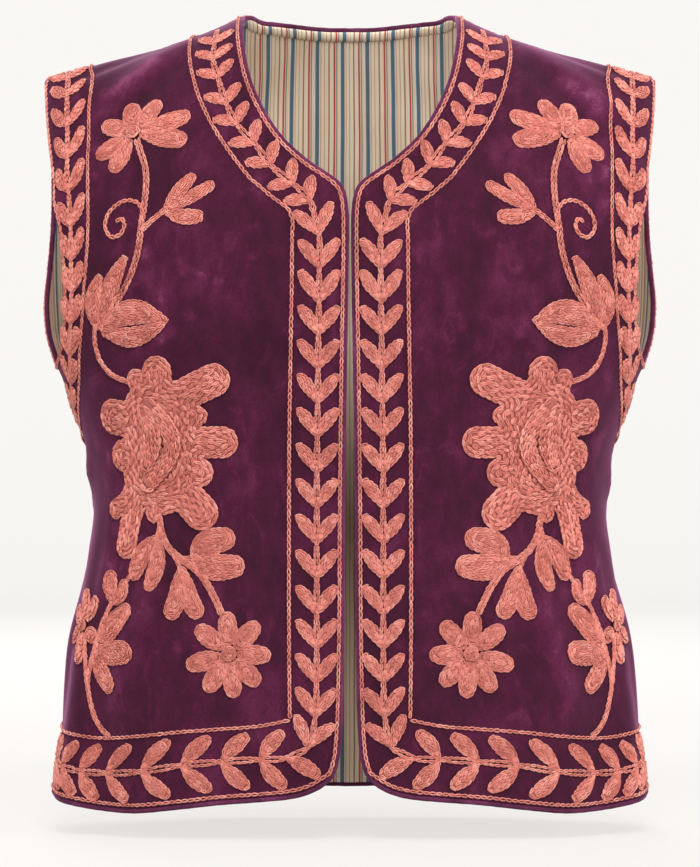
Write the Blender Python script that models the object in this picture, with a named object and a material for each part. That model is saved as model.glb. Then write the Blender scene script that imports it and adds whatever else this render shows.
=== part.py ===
"""An embroidered velvet waistcoat, worn open edge to edge, with nobody inside it.

The cloth is drawn flat and then laid on a figure. A place on the cloth is (around, up): the
millimetres round the figure from the centre front, and the height measured along the cloth.
Lengths here are in millimetres, and become metres where an object is made. The front faces
-Y, and the origin lies between the wearer's shoulders, on the line of the shoulder seams.
"""

import bmesh
import bpy
import numpy as np

MM = 0.001

# Cloth thicknesses, and the clearance left between pieces that are sewn together.
VELVET = 1.4
COTTON = 0.9
CLEAR = 0.3
ROLL = 3.5  # diameter of the rolled velvet that binds every edge

# The figure: a level ring at each height. Squareness 2 is an ellipse, and more is squarer.
CHEST_LEVEL = -166.0  # above it the cloth rounds over to the shoulder seam
RING_COLUMNS = ("height", "half_width", "front_depth", "back_depth", "squareness")
RINGS = np.array([
    (-530, 210.5, 117, 110, 2.25),
    (-512, 207.6, 116, 109, 2.25),
    (-470, 201.0, 114, 106, 2.25),
    (-438, 196.8, 112, 103, 2.25),
    (-410, 193.3, 110, 101, 2.25),
    (-382, 188.6, 108, 99, 2.25),
    (-347, 183.0, 106, 97, 2.25),
    (-319, 179.2, 105, 96, 2.25),
    (-291, 181.6, 106, 97, 2.25),
    (-263, 188.0, 108, 99, 2.25),
    (-242, 195.6, 109, 101, 2.25),
    (-228, 200.8, 110, 102, 2.25),
    (-213, 207.6, 111, 103, 2.27),
    (-199, 212.4, 112, 104, 2.32),
    (-184, 215.0, 112, 105, 2.38),
    (-156, 216.6, 112, 105, 2.5),
    (-116, 215.6, 112, 105, 2.7),
    (-66, 214.6, 112, 105, 3.0),
    (-18.5, 214.0, 112, 105, 3.3),
], float)

# The shoulder seam: height against the distance out from the centre.
SHOULDER = np.array([(0, 55), (40, 41), (75, 25.6), (105, 12.5), (145, 0.5), (182, -9.5), (213, -18.5)])
MEASURE_COLUMN = 140.0  # "up" is measured along the cloth this far out from the centre

# The cut of a front, one row for each line of the cloth from the hem up: where the line starts
# (the front edge, then the neck) and where it ends (the side seam, then the armhole).
SIDE = "side seam"
TOP = "shoulder seam"
UNDERARM_ROW = 13
FRONT_ROWS = [
    ((15.8, -503), (SIDE, -516.5)),
    ((10.4, -497), (SIDE, -508)),
    ((7.3, -487), (SIDE, -496)),
    ((5.8, -476), (SIDE, -484)),
    ((4.6, -454), (SIDE, -464)),
    ((3.9, -424), (SIDE, -432)),
    ((3.5, -394), (SIDE, -400)),
    ((3.3, -364), (SIDE, -365)),
    ((3.2, -338), (SIDE, -335)),
    ((3.1, -318), (SIDE, -312)),
    ((2.9, -297), (SIDE, -285)),
    ((2.7, -276), (SIDE, -258)),
    ((2.5, -257), (SIDE, -236)),
    ((2.2, -240), (SIDE, -217)),
    ((2.0, -224), (246, -216.3)),
    ((1.7, -206), (233, -213)),
    ((1.3, -186), (222, -205.5)),
    ((0.9, -163), (215, -195)),
    ((0.6, -140), (211.6, -181)),
    ((1.0, -126), (210.3, -163)),
    ((3.4, -116), (211.2, -144)),
    ((9, -109.8), (213.8, -123)),
    ((18, -104), (218, -98)),
    ((32, -94.5), (223.5, -72)),
    ((48, -79), (228.5, -46)),
    ((62, -57), (231.3, -18)),
    ((72, -32), (231.3, 8)),
    ((78.3, 0), (229.6, 25)),
    ((79.4, 26), (227.4, 37)),
    ((79.5, TOP), (225.5, TOP)),
]
FRONT_HEM = [(15.8, -503), (21.4, -506.6), (30, -510.3), (42, -513), (62, -515), (90, -517.4),
             (120, -521.2), (150, -524.4), (180, -523.8), (206, -521.7), (228, -519), (245, -517.5),
             (258, -516.8), (SIDE, -516.5)]
FRONT_SHOULDER = [79.5, 85, 92, 101, 111, 123, 138, 154, 170, 186, 199, 211, 219.5, 225.5]

# The cut of half the back, measured from the centre back: the centre line, then the armhole.
BACK_CENTRE = [-521.5, -508, -496, -484, -464, -432, -400, -365, -336, -314, -292, -272, -255, -239,
               -222, -204, -187, -171, -155, -140, -125, -110, -95, -80, -66, -52, -40, -29, -20, -12]
BACK_ARMHOLE = [(251.5, -214), (251.6, -206.5), (252.8, -198), (253.4, -189), (252, -178.5),
                (248.5, -167), (243, -152), (238.8, -134), (236, -114), (234.2, -92), (233, -68),
                (232.2, -43), (231.6, -18), (230.6, 5), (228.6, 24), (225.5, TOP)]
BACK_HEM = [0, 25, 50, 75, 100, 126, 152, 178, 201, 221, 238, 252]
BACK_NECK = [(0, -12), (18.5, -6.5), (36.5, 1.5), (52.5, 10.5), (67.6, 23), (79.5, TOP)]
BACK_SHOULDER = [101, 125, 149, 173, 196, 214, 225.5]

# The largest folds, as soft ridges and, where the height is negative, troughs. A fold fades to
# nothing at its lower and upper ends. "lean" is how far it moves outward for each mm up.
LEAN_FROM = -516.0  # the height, at the hem, for which "around" is given
FOLD_COLUMNS = ("around", "lower", "upper", "half_width", "height", "lean")
FOLDS = np.array([
    (-214, -760, -300, 17, 5.0, -0.05),
    (-176, -690, -340, 20, -4.0, 0.10),
    (-128, -800, -400, 26, 3.0, 0.04),
    (-205, -420, -236, 15, -3.2, 0.22),
    (216, -740, -315, 18, 4.4, -0.03),
    (181, -700, -330, 19, -3.4, 0.08),
    (132, -760, -410, 24, 3.2, 0.02),
    (203, -405, -240, 15, -2.8, 0.20),
    (-322, -740, -310, 22, 4.6, 0.06),
    (-380, -700, -350, 22, -4.0, -0.04),
    (-436, -780, -370, 22, 4.2, -0.12),
    (330, -760, -325, 21, 4.0, 0.05),
    (388, -690, -340, 21, -3.6, -0.05),
    (443, -770, -390, 22, 3.6, -0.13),
    (-352, -420, -215, 20, -3.4, -0.24),
    (347, -400, -225, 19, -3.0, -0.22),
], float)

# The figure's table: its lowest row, the rows' step, and the columns in each quarter round.
LOWEST_UP = -540.0
ROW_STEP = 2.0
STATIONS = 300
TANGENT_STEP = 1.5  # how far apart two places lie when a direction is read between them
LEAST_TURN = 0.05  # two stretches of an edge that turn by less than this share are one line


def smooth(table, at, column=1):
    """A smooth curve through the table's rows, read at the given values of its first column."""
    x, y = table[:, 0], table[:, column]
    slope = np.gradient(y, x)
    at = np.clip(at, x[0], x[-1])
    row = np.clip(np.searchsorted(x, at) - 1, 0, len(x) - 2)
    span = x[row + 1] - x[row]
    u = (at - x[row]) / span
    ends = (2 * u**3 - 3 * u**2 + 1) * y[row] + (3 * u**2 - 2 * u**3) * y[row + 1]
    return ends + ((u**3 - 2 * u**2 + u) * slope[row] + (u**3 - u**2) * slope[row + 1]) * span


def ring_values(height):
    """Half width, front depth, back depth and squareness at the given heights."""
    return (smooth(RINGS, height, column) for column in range(1, len(RING_COLUMNS)))


def shoulder_turns(samples=400):
    """The angle turned from upright to level against the distance along the cloth."""
    half_width, front, _, squareness = ring_values(CHEST_LEVEL)
    reach = front * (1 - (MEASURE_COLUMN / half_width) ** squareness) ** (1 / squareness)
    turn = np.linspace(0, np.pi / 2, samples)
    rise = (smooth(SHOULDER, MEASURE_COLUMN) - CHEST_LEVEL) * np.sin(turn)
    depth = reach * np.cos(turn)
    along = np.concatenate([[0], np.cumsum(np.hypot(np.diff(rise), np.diff(depth)))])
    return along, turn


ALONG, TURN = shoulder_turns()
TOP_UP = CHEST_LEVEL + ALONG[-1]
UPS = np.append(np.arange(LOWEST_UP, TOP_UP, ROW_STEP), TOP_UP)


def half_rings(samples=721):
    """Half of each ring, from the centre front to the centre back, and the length along it."""
    turn = np.interp(UPS - CHEST_LEVEL, ALONG, TURN)[:, None]
    edge_rise = SHOULDER[-1, 1] - CHEST_LEVEL
    height = np.where(UPS[:, None] <= CHEST_LEVEL, UPS[:, None], CHEST_LEVEL + edge_rise * np.sin(turn))
    half_width, front, back, squareness = ring_values(height)
    angle = np.linspace(0, np.pi, samples)[None, :]
    x = half_width * np.abs(np.sin(angle)) ** (2 / squareness)
    depth = np.where(angle < np.pi / 2, -front, back) * np.cos(turn)
    y = depth * np.abs(np.cos(angle)) ** (2 / squareness)
    over = CHEST_LEVEL + (smooth(SHOULDER, x) - CHEST_LEVEL) * np.sin(turn)
    z = np.where(UPS[:, None] <= CHEST_LEVEL, UPS[:, None] + 0 * x, over)
    rings = np.stack([x, y, z], axis=-1)
    steps = np.linalg.norm(np.diff(rings, axis=1), axis=2)
    return rings, np.pad(np.cumsum(steps, axis=1), ((0, 0), (1, 0)))


RING_POINTS, RING_LENGTHS = half_rings()
HALF_RING = RING_LENGTHS.shape[1] // 2


def side_at(up):
    """The distance round from the centre front to the side seam."""
    return np.interp(up, UPS, RING_LENGTHS[:, HALF_RING])


def centre_back_at(up):
    return np.interp(up, UPS, RING_LENGTHS[:, -1])


def figure_table():
    """Each half ring read at even steps, so that the seams fall on the same columns all the way up."""
    table = np.empty((len(UPS), 2 * STATIONS + 1, 3))
    even = np.linspace(0, 1, STATIONS + 1)
    for row, (points, lengths) in enumerate(zip(RING_POINTS, RING_LENGTHS)):
        side, end = lengths[HALF_RING], lengths[-1]
        at = np.append(even[:-1] * side, side + even * (end - side))
        for axis in range(3):
            table[row, :, axis] = np.interp(at, lengths, points[:, axis])
    return table


FIGURE = figure_table()


def on_figure(around, up):
    """The place on the figure. Negative "around" is its right half, at -X."""
    around, up = np.broadcast_arrays(np.asarray(around, float), np.asarray(up, float))
    up = np.clip(up, UPS[0], UPS[-1])
    side, back = side_at(up), centre_back_at(up)
    half = np.where(around < 0, -1.0, 1.0)
    distance = np.abs(around)
    half = np.where(distance > back, -half, half)
    distance = np.where(distance > back, 2 * back - distance, distance)
    column = np.where(distance < side, distance / side, 1 + (distance - side) / (back - side)) * STATIONS
    row = np.interp(up, UPS, np.arange(len(UPS)))
    i = np.clip(row.astype(int), 0, len(UPS) - 2)
    j = np.clip(column.astype(int), 0, 2 * STATIONS - 1)
    u, v = (row - i)[..., None], (column - j)[..., None]
    low = FIGURE[i, j] * (1 - v) + FIGURE[i, j + 1] * v
    high = FIGURE[i + 1, j] * (1 - v) + FIGURE[i + 1, j + 1] * v
    point = low * (1 - u) + high * u
    point[..., 0] *= half
    return point


def fold_height(around, up):
    height = np.zeros(np.shape(around))
    for row in FOLDS:
        fold = dict(zip(FOLD_COLUMNS, row))
        middle, reach = (fold["lower"] + fold["upper"]) / 2, (fold["upper"] - fold["lower"]) / 2
        fade = np.clip(1 - ((up - middle) / reach) ** 2, 0, None) ** 2
        outward = np.sign(fold["around"]) * fold["lean"] * (up - LEAN_FROM)
        off = (around - fold["around"] - outward) / fold["half_width"]
        height = height + fold["height"] * fade * np.exp(-(off**2))
    return height


def directions(around, up):
    """How far the place moves for each mm round and each mm up, and the way out of the cloth."""
    step = TANGENT_STEP
    top = np.minimum(up + step, TOP_UP)
    across = (on_figure(around + step, up) - on_figure(around - step, up)) / (2 * step)
    upward = (on_figure(around, top) - on_figure(around, up - step)) / (top - up + step)[..., None]
    outward = np.cross(across, upward)
    return across, upward, outward / np.linalg.norm(outward, axis=-1, keepdims=True)


def cloth(around, up, inward=0.0):
    """The place on the velvet's outer face, or this far inward from it."""
    around, up = np.asarray(around, float), np.asarray(up, float)
    outward = directions(around, up)[2]
    return on_figure(around, up) + outward * (fold_height(around, up) - inward)[..., None]


def flat(place, from_back=False):
    """(around, up) of a table entry, with the seams' names replaced by where they lie."""
    around, up = place
    up = TOP_UP if up == TOP else up
    if around == SIDE:
        around = side_at(up)
    elif from_back:
        around = centre_back_at(up) - around
    return float(around), float(up)


def front_sides():
    """The four sides of a front: hem, outer edge, shoulder and inner edge."""
    inner = [flat(start) for start, _ in FRONT_ROWS]
    outer = [flat(end) for _, end in FRONT_ROWS]
    shoulder = [flat((around, TOP)) for around in FRONT_SHOULDER]
    return [np.array(side) for side in ([flat(place) for place in FRONT_HEM], outer, shoulder, inner)]


def back_sides():
    """The four sides of the back's left half, from the centre back out to the side seam."""
    inner = [flat((0, up), from_back=True) for up in BACK_CENTRE]
    outer = [flat(end) for _, end in FRONT_ROWS[: UNDERARM_ROW + 1]]
    outer += [flat(place, from_back=True) for place in BACK_ARMHOLE]
    side_hem = flat(FRONT_ROWS[0][1])
    hem_ups = np.interp(BACK_HEM, (0, BACK_HEM[-1]), (BACK_CENTRE[0], side_hem[1]))
    hem = [flat(place, from_back=True) for place in zip(BACK_HEM, hem_ups)] + [side_hem]
    top = [flat(place, from_back=True) for place in BACK_NECK]
    top += [flat((around, TOP), from_back=True) for around in BACK_SHOULDER]
    return [np.array(side) for side in (hem, outer, top, inner)]


def drawn_in(sides, gaps):
    """The sides moved into the cloth, each stretch by its own gap, as measured on the figure."""
    hem, outer, top, inner = sides
    loop = np.concatenate([hem[:-1], outer[:-1], top[::-1][:-1], inner[::-1][:-1]])
    gap = np.concatenate(gaps)
    across, upward, outward = directions(loop[:, 0], loop[:, 1])
    points = on_figure(loop[:, 0], loop[:, 1])
    turn = np.sign(np.sum(loop[:, 0] * np.roll(loop[:, 1], -1) - loop[:, 1] * np.roll(loop[:, 0], -1)))
    moved = loop.copy()
    for i in range(len(loop)):
        slopes = np.stack([across[i], upward[i]])
        steps = np.array([points[i] - points[i - 1], points[(i + 1) % len(loop)] - points[i]])
        inward = turn * np.cross(outward[i], steps)
        inward /= np.linalg.norm(inward, axis=1, keepdims=True)
        moved[i] += np.linalg.pinv(inward @ slopes.T, rcond=LEAST_TURN) @ (gap[i - 1], gap[i])
    ends = np.cumsum([0, len(hem) - 1, len(outer) - 1, len(top) - 1])
    ring = np.vstack([moved, moved[:1]])
    hem_in, outer_in, top_in = (ring[a : b + 1] for a, b in zip(ends[:-1], ends[1:]))
    return hem_in, outer_in, top_in[::-1], ring[ends[-1] :][::-1]


def filled(sides):
    """A grid of places between the four sides."""
    hem, outer, top, inner = sides
    v = np.linspace(0, 1, len(inner))[:, None, None]
    u = np.linspace(0, 1, len(hem))[None, :, None]
    between = (1 - u) * inner[:, None] + u * outer[:, None] + (1 - v) * hem[None] + v * top[None]
    corners = (1 - u) * (1 - v) * hem[0] + u * (1 - v) * hem[-1] + (1 - u) * v * top[0] + u * v * top[-1]
    return between - corners


def front_gaps(bound, seam):
    """The gap for each stretch of a front's sides: bound edges, or seams."""
    rows, columns = len(FRONT_ROWS) - 1, len(FRONT_HEM) - 1
    outer = [seam] * UNDERARM_ROW + [bound] * (rows - UNDERARM_ROW)
    return [bound] * columns, outer, [seam] * columns, [bound] * rows


def back_gaps(bound, seam):
    rows, columns, neck = len(FRONT_ROWS) - 1, len(BACK_HEM), len(BACK_NECK) - 1
    outer = [seam] * UNDERARM_ROW + [bound] * (rows - UNDERARM_ROW)
    top = [seam] * (columns - neck) + [bound] * neck
    return [bound] * columns, outer, top, [0.0] * rows


def material(name, colour, roughness):
    made = bpy.data.materials.new(name)
    made.use_nodes = True
    shader = made.node_tree.nodes["Principled BSDF"]
    shader.inputs["Base Color"].default_value = (*colour, 1)
    shader.inputs["Roughness"].default_value = roughness
    return made


def sheet(name, places, inward, thickness, look, collection):
    """A cloth wall: a grid laid at the given places, its copy inside it, and a rim between them."""
    rows, columns = places.shape[:2]
    faces = [cloth(places[..., 0], places[..., 1], depth) for depth in (inward, inward + thickness)]
    outer, inner = (face.reshape(-1, 3) * MM for face in faces)
    bm = bmesh.new()
    bmesh.ops.create_grid(bm, x_segments=columns - 1, y_segments=rows - 1, size=1)
    verts = bm.verts[:]
    copy = bmesh.ops.duplicate(bm, geom=bm.verts[:] + bm.edges[:] + bm.faces[:])
    for vert, out_point, in_point in zip(verts, outer, inner):
        vert.co = out_point
        copy["vert_map"][vert].co = in_point
    copied_faces = [part for part in copy["geom"] if isinstance(part, bmesh.types.BMFace)]
    bmesh.ops.reverse_faces(bm, faces=copied_faces)
    bmesh.ops.bridge_loops(bm, edges=[edge for edge in bm.edges if edge.is_boundary])
    bmesh.ops.recalc_face_normals(bm, faces=bm.faces[:])
    mesh = bpy.data.meshes.new(name)
    bm.to_mesh(mesh)
    bm.free()
    mesh.shade_smooth()
    mesh.materials.append(look)
    collection.objects.link(bpy.data.objects.new(name, mesh))


def binding(name, places, look, collection):
    """The rolled edge: a round tube that closes on itself, centred in the cloth's thickness."""
    middle = (VELVET + CLEAR + COTTON) / 2
    points = cloth(places[:, 0], places[:, 1], middle) * MM
    curve = bpy.data.curves.new(name, "CURVE")
    curve.dimensions = "3D"
    curve.bevel_depth = ROLL / 2 * MM
    curve.bevel_resolution = 2
    spline = curve.splines.new("POLY")
    spline.points.add(len(points) - 1)
    for spot, point in zip(spline.points, points):
        spot.co = (*point, 1)
    spline.use_cyclic_u = True
    curve.materials.append(look)
    collection.objects.link(bpy.data.objects.new(name, curve))


def mirrored(places):
    return places * (-1, 1)


def main_route():
    """Round the neck, down one front edge, along the hem and up the other front edge."""
    front_hem, _, _, front_inner = drawn_in(front_sides(), front_gaps(ROLL / 2, 0))
    back_hem, _, back_top, _ = drawn_in(back_sides(), back_gaps(ROLL / 2, 0))
    down_front = np.vstack([front_inner[::-1], front_hem[1:]])
    half_hem = back_hem[::-1][1:]
    half_neck = back_top[: len(BACK_NECK)][:-1]
    left = np.vstack([down_front, half_hem])
    right = mirrored(np.vstack([half_hem[:-1][::-1], down_front[::-1]]))
    return np.vstack([left, right, mirrored(half_neck[::-1])[:-1], half_neck])


def armhole_route():
    _, front_outer, _, _ = drawn_in(front_sides(), front_gaps(ROLL / 2, 0))
    _, back_outer, _, _ = drawn_in(back_sides(), back_gaps(ROLL / 2, 0))
    up_front = front_outer[UNDERARM_ROW:]
    down_back = back_outer[UNDERARM_ROW:][::-1]
    return np.vstack([up_front, down_back[1:-1]])


def build():
    for old in list(bpy.data.objects):
        bpy.data.objects.remove(old, do_unlink=True)
    waistcoat = bpy.data.collections.new("embroidered_waistcoat")
    bpy.context.scene.collection.children.link(waistcoat)
    velvet = material("plum_velvet", (0.070, 0.012, 0.036), 0.85)
    ticking = material("striped_cotton", (0.55, 0.42, 0.30), 0.8)
    edge = material("rolled_velvet_edge", (0.055, 0.010, 0.030), 0.85)

    front = filled(drawn_in(front_sides(), front_gaps(ROLL + CLEAR, CLEAR / 2)))
    half_back = filled(drawn_in(back_sides(), back_gaps(ROLL + CLEAR, CLEAR / 2)))
    # The columns run so that the grid's face looks outward: to +X in front, to -X behind.
    fronts = {"left": front, "right": mirrored(front)[:, ::-1]}
    back = np.concatenate([half_back[:, ::-1], mirrored(half_back)[:, 1:]], axis=1)

    for hand, places in fronts.items():
        sheet("front_" + hand, places, 0, VELVET, velvet, waistcoat)
        sheet("lining_front_" + hand, places, VELVET + CLEAR, COTTON, ticking, waistcoat)
    sheet("back", back, 0, VELVET, velvet, waistcoat)
    sheet("lining_back", back, VELVET + CLEAR, COTTON, ticking, waistcoat)

    binding("edge_neck_fronts_hem", main_route(), edge, waistcoat)
    binding("edge_armhole_left", armhole_route(), edge, waistcoat)
    binding("edge_armhole_right", mirrored(armhole_route())[::-1], edge, waistcoat)


build()
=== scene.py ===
"""An embroidered velvet waistcoat, worn open, in a plain studio.

Lengths are in millimetres until they reach a mesh. A place on the cloth is (around, up): how far
it lies round the figure from the centre front, less than 0 on the right half, at -X, and how high,
measured along the cloth. Up to the chest that is Z. The front faces -Y.
"""

import bmesh
import bpy
import numpy as np
from mathutils import Matrix, Vector


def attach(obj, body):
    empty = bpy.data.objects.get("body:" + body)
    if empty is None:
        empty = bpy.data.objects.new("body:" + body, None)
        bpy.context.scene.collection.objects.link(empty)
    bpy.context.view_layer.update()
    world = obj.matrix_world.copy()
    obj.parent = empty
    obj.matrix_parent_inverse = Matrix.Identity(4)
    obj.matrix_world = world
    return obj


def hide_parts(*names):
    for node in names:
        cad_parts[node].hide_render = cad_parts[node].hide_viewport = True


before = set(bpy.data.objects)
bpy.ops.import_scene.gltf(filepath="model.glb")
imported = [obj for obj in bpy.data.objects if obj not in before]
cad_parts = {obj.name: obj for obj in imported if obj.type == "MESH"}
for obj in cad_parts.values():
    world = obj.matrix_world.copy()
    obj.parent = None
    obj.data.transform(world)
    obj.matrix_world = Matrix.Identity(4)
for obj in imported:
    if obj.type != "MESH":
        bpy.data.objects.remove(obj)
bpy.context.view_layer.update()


# --- Velvet fronts and back ---------------------------------------------------------------
# Two fronts and a back of cotton velvet, cut with curved armholes and rounded front corners.
# They are sewn together at the shoulders and the sides, and hang from the shoulders in soft
# folds. The cloth is laid on the figure that it was cut for, which is drawn as level rings.

MM = 0.001
VELVET = 1.4  # how thick the velvet is
ROLL = 3.5  # how thick a rolled edge is
CHEST_LEVEL = -166.0  # above it the cloth rounds over to the shoulder seam
RING_COLUMNS = ("height", "half_width", "front_depth", "back_depth", "squareness")
RINGS = np.array([
    (-530, 210.5, 117, 110, 2.25),
    (-512, 207.6, 116, 109, 2.25),
    (-470, 201.0, 114, 106, 2.25),
    (-438, 196.8, 112, 103, 2.25),
    (-410, 193.3, 110, 101, 2.25),
    (-382, 188.6, 108, 99, 2.25),
    (-347, 183.0, 106, 97, 2.25),
    (-319, 179.2, 105, 96, 2.25),
    (-291, 181.6, 106, 97, 2.25),
    (-263, 188.0, 108, 99, 2.25),
    (-242, 195.6, 109, 101, 2.25),
    (-228, 200.8, 110, 102, 2.25),
    (-213, 207.6, 111, 103, 2.27),
    (-199, 212.4, 112, 104, 2.32),
    (-184, 215.0, 112, 105, 2.38),
    (-156, 216.6, 112, 105, 2.5),
    (-116, 215.6, 112, 105, 2.7),
    (-66, 214.6, 112, 105, 3.0),
    (-18.5, 214.0, 112, 105, 3.3),
], float)
SHOULDER = np.array([(0, 55), (40, 41), (75, 25.6), (105, 12.5), (145, 0.5), (182, -9.5), (213, -18.5)])
MEASURE_COLUMN = 140.0  # "up" is measured along the cloth this far out from the centre

# In the tables of places these two words stand for where the cloth meets a seam.
SIDE = "side seam"
TOP = "shoulder seam"
HEM_SIDE, OUTER_SIDE, TOP_SIDE, INNER_SIDE = range(4)  # the four sides of a cut piece, in order
UNDERARM_ROW = 13
FRONT_ROWS = [
    ((15.8, -503), (SIDE, -516.5)),
    ((10.4, -497), (SIDE, -508)),
    ((7.3, -487), (SIDE, -496)),
    ((5.8, -476), (SIDE, -484)),
    ((4.6, -454), (SIDE, -464)),
    ((3.9, -424), (SIDE, -432)),
    ((3.5, -394), (SIDE, -400)),
    ((3.3, -364), (SIDE, -365)),
    ((3.2, -338), (SIDE, -335)),
    ((3.1, -318), (SIDE, -312)),
    ((2.9, -297), (SIDE, -285)),
    ((2.7, -276), (SIDE, -258)),
    ((2.5, -257), (SIDE, -236)),
    ((2.2, -240), (SIDE, -217)),
    ((2.0, -224), (246, -216.3)),
    ((1.7, -206), (233, -213)),
    ((1.3, -186), (222, -205.5)),
    ((0.9, -163), (215, -195)),
    ((0.6, -140), (211.6, -181)),
    ((1.0, -126), (210.3, -163)),
    ((3.4, -116), (211.2, -144)),
    ((9, -109.8), (213.8, -123)),
    ((18, -104), (218, -98)),
    ((32, -94.5), (223.5, -72)),
    ((48, -79), (228.5, -46)),
    ((62, -57), (231.3, -18)),
    ((72, -32), (231.3, 8)),
    ((78.3, 0), (229.6, 25)),
    ((79.4, 26), (227.4, 37)),
    ((79.5, TOP), (225.5, TOP)),
]
FRONT_HEM = [(15.8, -503), (21.4, -506.6), (30, -510.3), (42, -513), (62, -515), (90, -517.4),
             (120, -521.2), (150, -524.4), (180, -523.8), (206, -521.7), (228, -519), (245, -517.5),
             (258, -516.8), (SIDE, -516.5)]
FRONT_SHOULDER = [79.5, 85, 92, 101, 111, 123, 138, 154, 170, 186, 199, 211, 219.5, 225.5]
BACK_CENTRE = [-521.5, -508, -496, -484, -464, -432, -400, -365, -336, -314, -292, -272, -255, -239,
               -222, -204, -187, -171, -155, -140, -125, -110, -95, -80, -66, -52, -40, -29, -20, -12]
BACK_ARMHOLE = [(251.5, -214), (251.6, -206.5), (252.8, -198), (253.4, -189), (252, -178.5),
                (248.5, -167), (243, -152), (238.8, -134), (236, -114), (234.2, -92), (233, -68),
                (232.2, -43), (231.6, -18), (230.6, 5), (228.6, 24), (225.5, TOP)]
BACK_HEM = [0, 25, 50, 75, 100, 126, 152, 178, 201, 221, 238, 252]
BACK_NECK = [(0, -12), (18.5, -6.5), (36.5, 1.5), (52.5, 10.5), (67.6, 23), (79.5, TOP)]
BACK_SHOULDER = [101, 125, 149, 173, 196, 214, 225.5]
NECK_CORNER = len(BACK_NECK) - 1  # the back's neck edge takes this many steps

LEAN_FROM = -516.0  # the height, at the hem, for which a fold's "around" is given
FOLD_COLUMNS = ("around", "lower", "upper", "half_width", "height", "lean")
FOLDS = np.array([
    (-214, -760, -300, 17, 5.0, -0.05),
    (-176, -690, -340, 20, -4.0, 0.10),
    (-128, -800, -400, 26, 3.0, 0.04),
    (-205, -420, -236, 15, -3.2, 0.22),
    (216, -740, -315, 18, 4.4, -0.03),
    (181, -700, -330, 19, -3.4, 0.08),
    (132, -760, -410, 24, 3.2, 0.02),
    (203, -405, -240, 15, -2.8, 0.20),
    (-322, -740, -310, 22, 4.6, 0.06),
    (-380, -700, -350, 22, -4.0, -0.04),
    (-436, -780, -370, 22, 4.2, -0.12),
    (330, -760, -325, 21, 4.0, 0.05),
    (388, -690, -340, 21, -3.6, -0.05),
    (443, -770, -390, 22, 3.6, -0.13),
    (-352, -420, -215, 20, -3.4, -0.24),
    (347, -400, -225, 19, -3.0, -0.22),
], float)

# Smaller creases, each a soft ridge or trough from one place to another.
CREASE_COLUMNS = ("from_around", "from_up", "to_around", "to_up", "half_width", "height")
CREASES = np.array([
    (-106, 34, -196, -44, 11, 1.5),
    (-118, 6, -188, -66, 9, -1.1),
    (-132, 40, -214, 6, 8, -1.2),
    (-196, -60, -236, -150, 8, 1.3),
    (-131, -150, -136, -214, 5, 1.2),
    (-144, -158, -146, -212, 4, -0.9),
    (-150, -176, -158, -226, 4, 0.9),
    (-86, -178, -52, -250, 16, -0.9),
    (-132, -352, -176, -462, 9, 2.0),
    (-176, -332, -190, -398, 6, 1.3),
    (-204, -272, -262, -340, 9, 2.0),
    (-214, -300, -268, -312, 7, -1.5),
    (-226, -356, -246, -470, 7, 1.8),
    (-66, -380, -92, -470, 14, -1.0),
    (112, 34, 202, -38, 10, 1.2),
    (124, 2, 190, -58, 10, -1.1),
    (138, 38, 210, 12, 7, -0.9),
    (198, -52, 234, -140, 9, 1.2),
    (124, -160, 133, -222, 5, 1.1),
    (139, -168, 148, -220, 4, -0.8),
    (88, -190, 60, -266, 15, -0.8),
    (128, -362, 164, -470, 10, 1.7),
    (178, -338, 196, -408, 6, 1.2),
    (206, -280, 258, -350, 8, 1.7),
    (216, -310, 266, -318, 7, -1.3),
    (228, -366, 242, -478, 7, 1.6),
    (70, -370, 96, -476, 13, -0.9),
    (-330, -30, -410, -150, 16, 1.5),
    (-300, -190, -400, -262, 12, 1.6),
    (-296, -236, -372, -330, 10, -1.3),
    (-468, 0, -402, -74, 14, -1.0),
    (-470, -300, -420, -250, 13, 1.1),
    (336, -42, 404, -160, 15, 1.4),
    (304, -200, 396, -274, 12, 1.5),
    (300, -250, 366, -336, 10, -1.2),
    (470, -6, 410, -80, 14, -1.0),
    (462, -312, 418, -258, 12, 1.0),
], float)
CREASE_DEPTH = 2.1
MOST_RAISED = 1.2  # creases deeper or higher than this, as a share of that depth, look no different
MARK_LIGHTNESS = 3.0

# Where the right front's pile was stroked the other way, and shows lighter, in the same columns.
PILE_MARKS = np.array([
    (-187, 17, -175, 19, 4.0, 0.80),
    (-178, -18, -139, 4, 4.5, 0.80),
    (-182, -22, -166, -17, 4.0, 0.50),
    (-162, 3, -136, 9, 4.0, 0.50),
    (-182, -37, -166, -34, 4.0, 0.60),
    (-184, -64, -178, -61, 4.0, 0.50),
    (-182, -89, -178, -80, 4.0, 0.60),
    (-181, -100, -174, -95, 3.5, 0.40),
    (-168, -146, -160, -137, 4.0, 0.50),
    (-139, -150, -143, -137, 4.0, 0.50),
    (-136, -171, -140, -154, 4.5, 0.60),
    (-127, -177, -132, -164, 4.5, 0.60),
    (-124, -204, -126, -188, 3.5, 0.90),
    (-133, -208, -127, -198, 3.5, 0.60),
    (-193, -242, -180, -214, 5.0, 0.70),
    (-192, -279, -199, -262, 4.0, 0.70),
    (-176, -292, -186, -269, 4.0, 0.50),
    (-177, -376, -172, -351, 4.5, 0.60),
    (-186, -366, -180, -346, 4.0, 0.40),
    (-159, -385, -147, -371, 5.0, 0.40),
    (-212, -354, -204, -326, 4.5, 0.50),
    (-210, -409, -203, -390, 4.0, 0.40),
    (-68, -196, -71, -157, 7.0, 0.30),
    (-80, -352, -76, -311, 7.0, 0.25),
    (-109, -176, -92, -145, 6.0, 0.30),
    (-96, -99, -111, -70, 6.0, 0.35),
], float)
MARK_SEED = 3
MARK_SHIFT = 5.0  # how far the ends of the left front's marks lie from a mirror image of these
MARK_STRENGTHS = (0.6, 1.1)  # how strong they are, as a share of these

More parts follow.
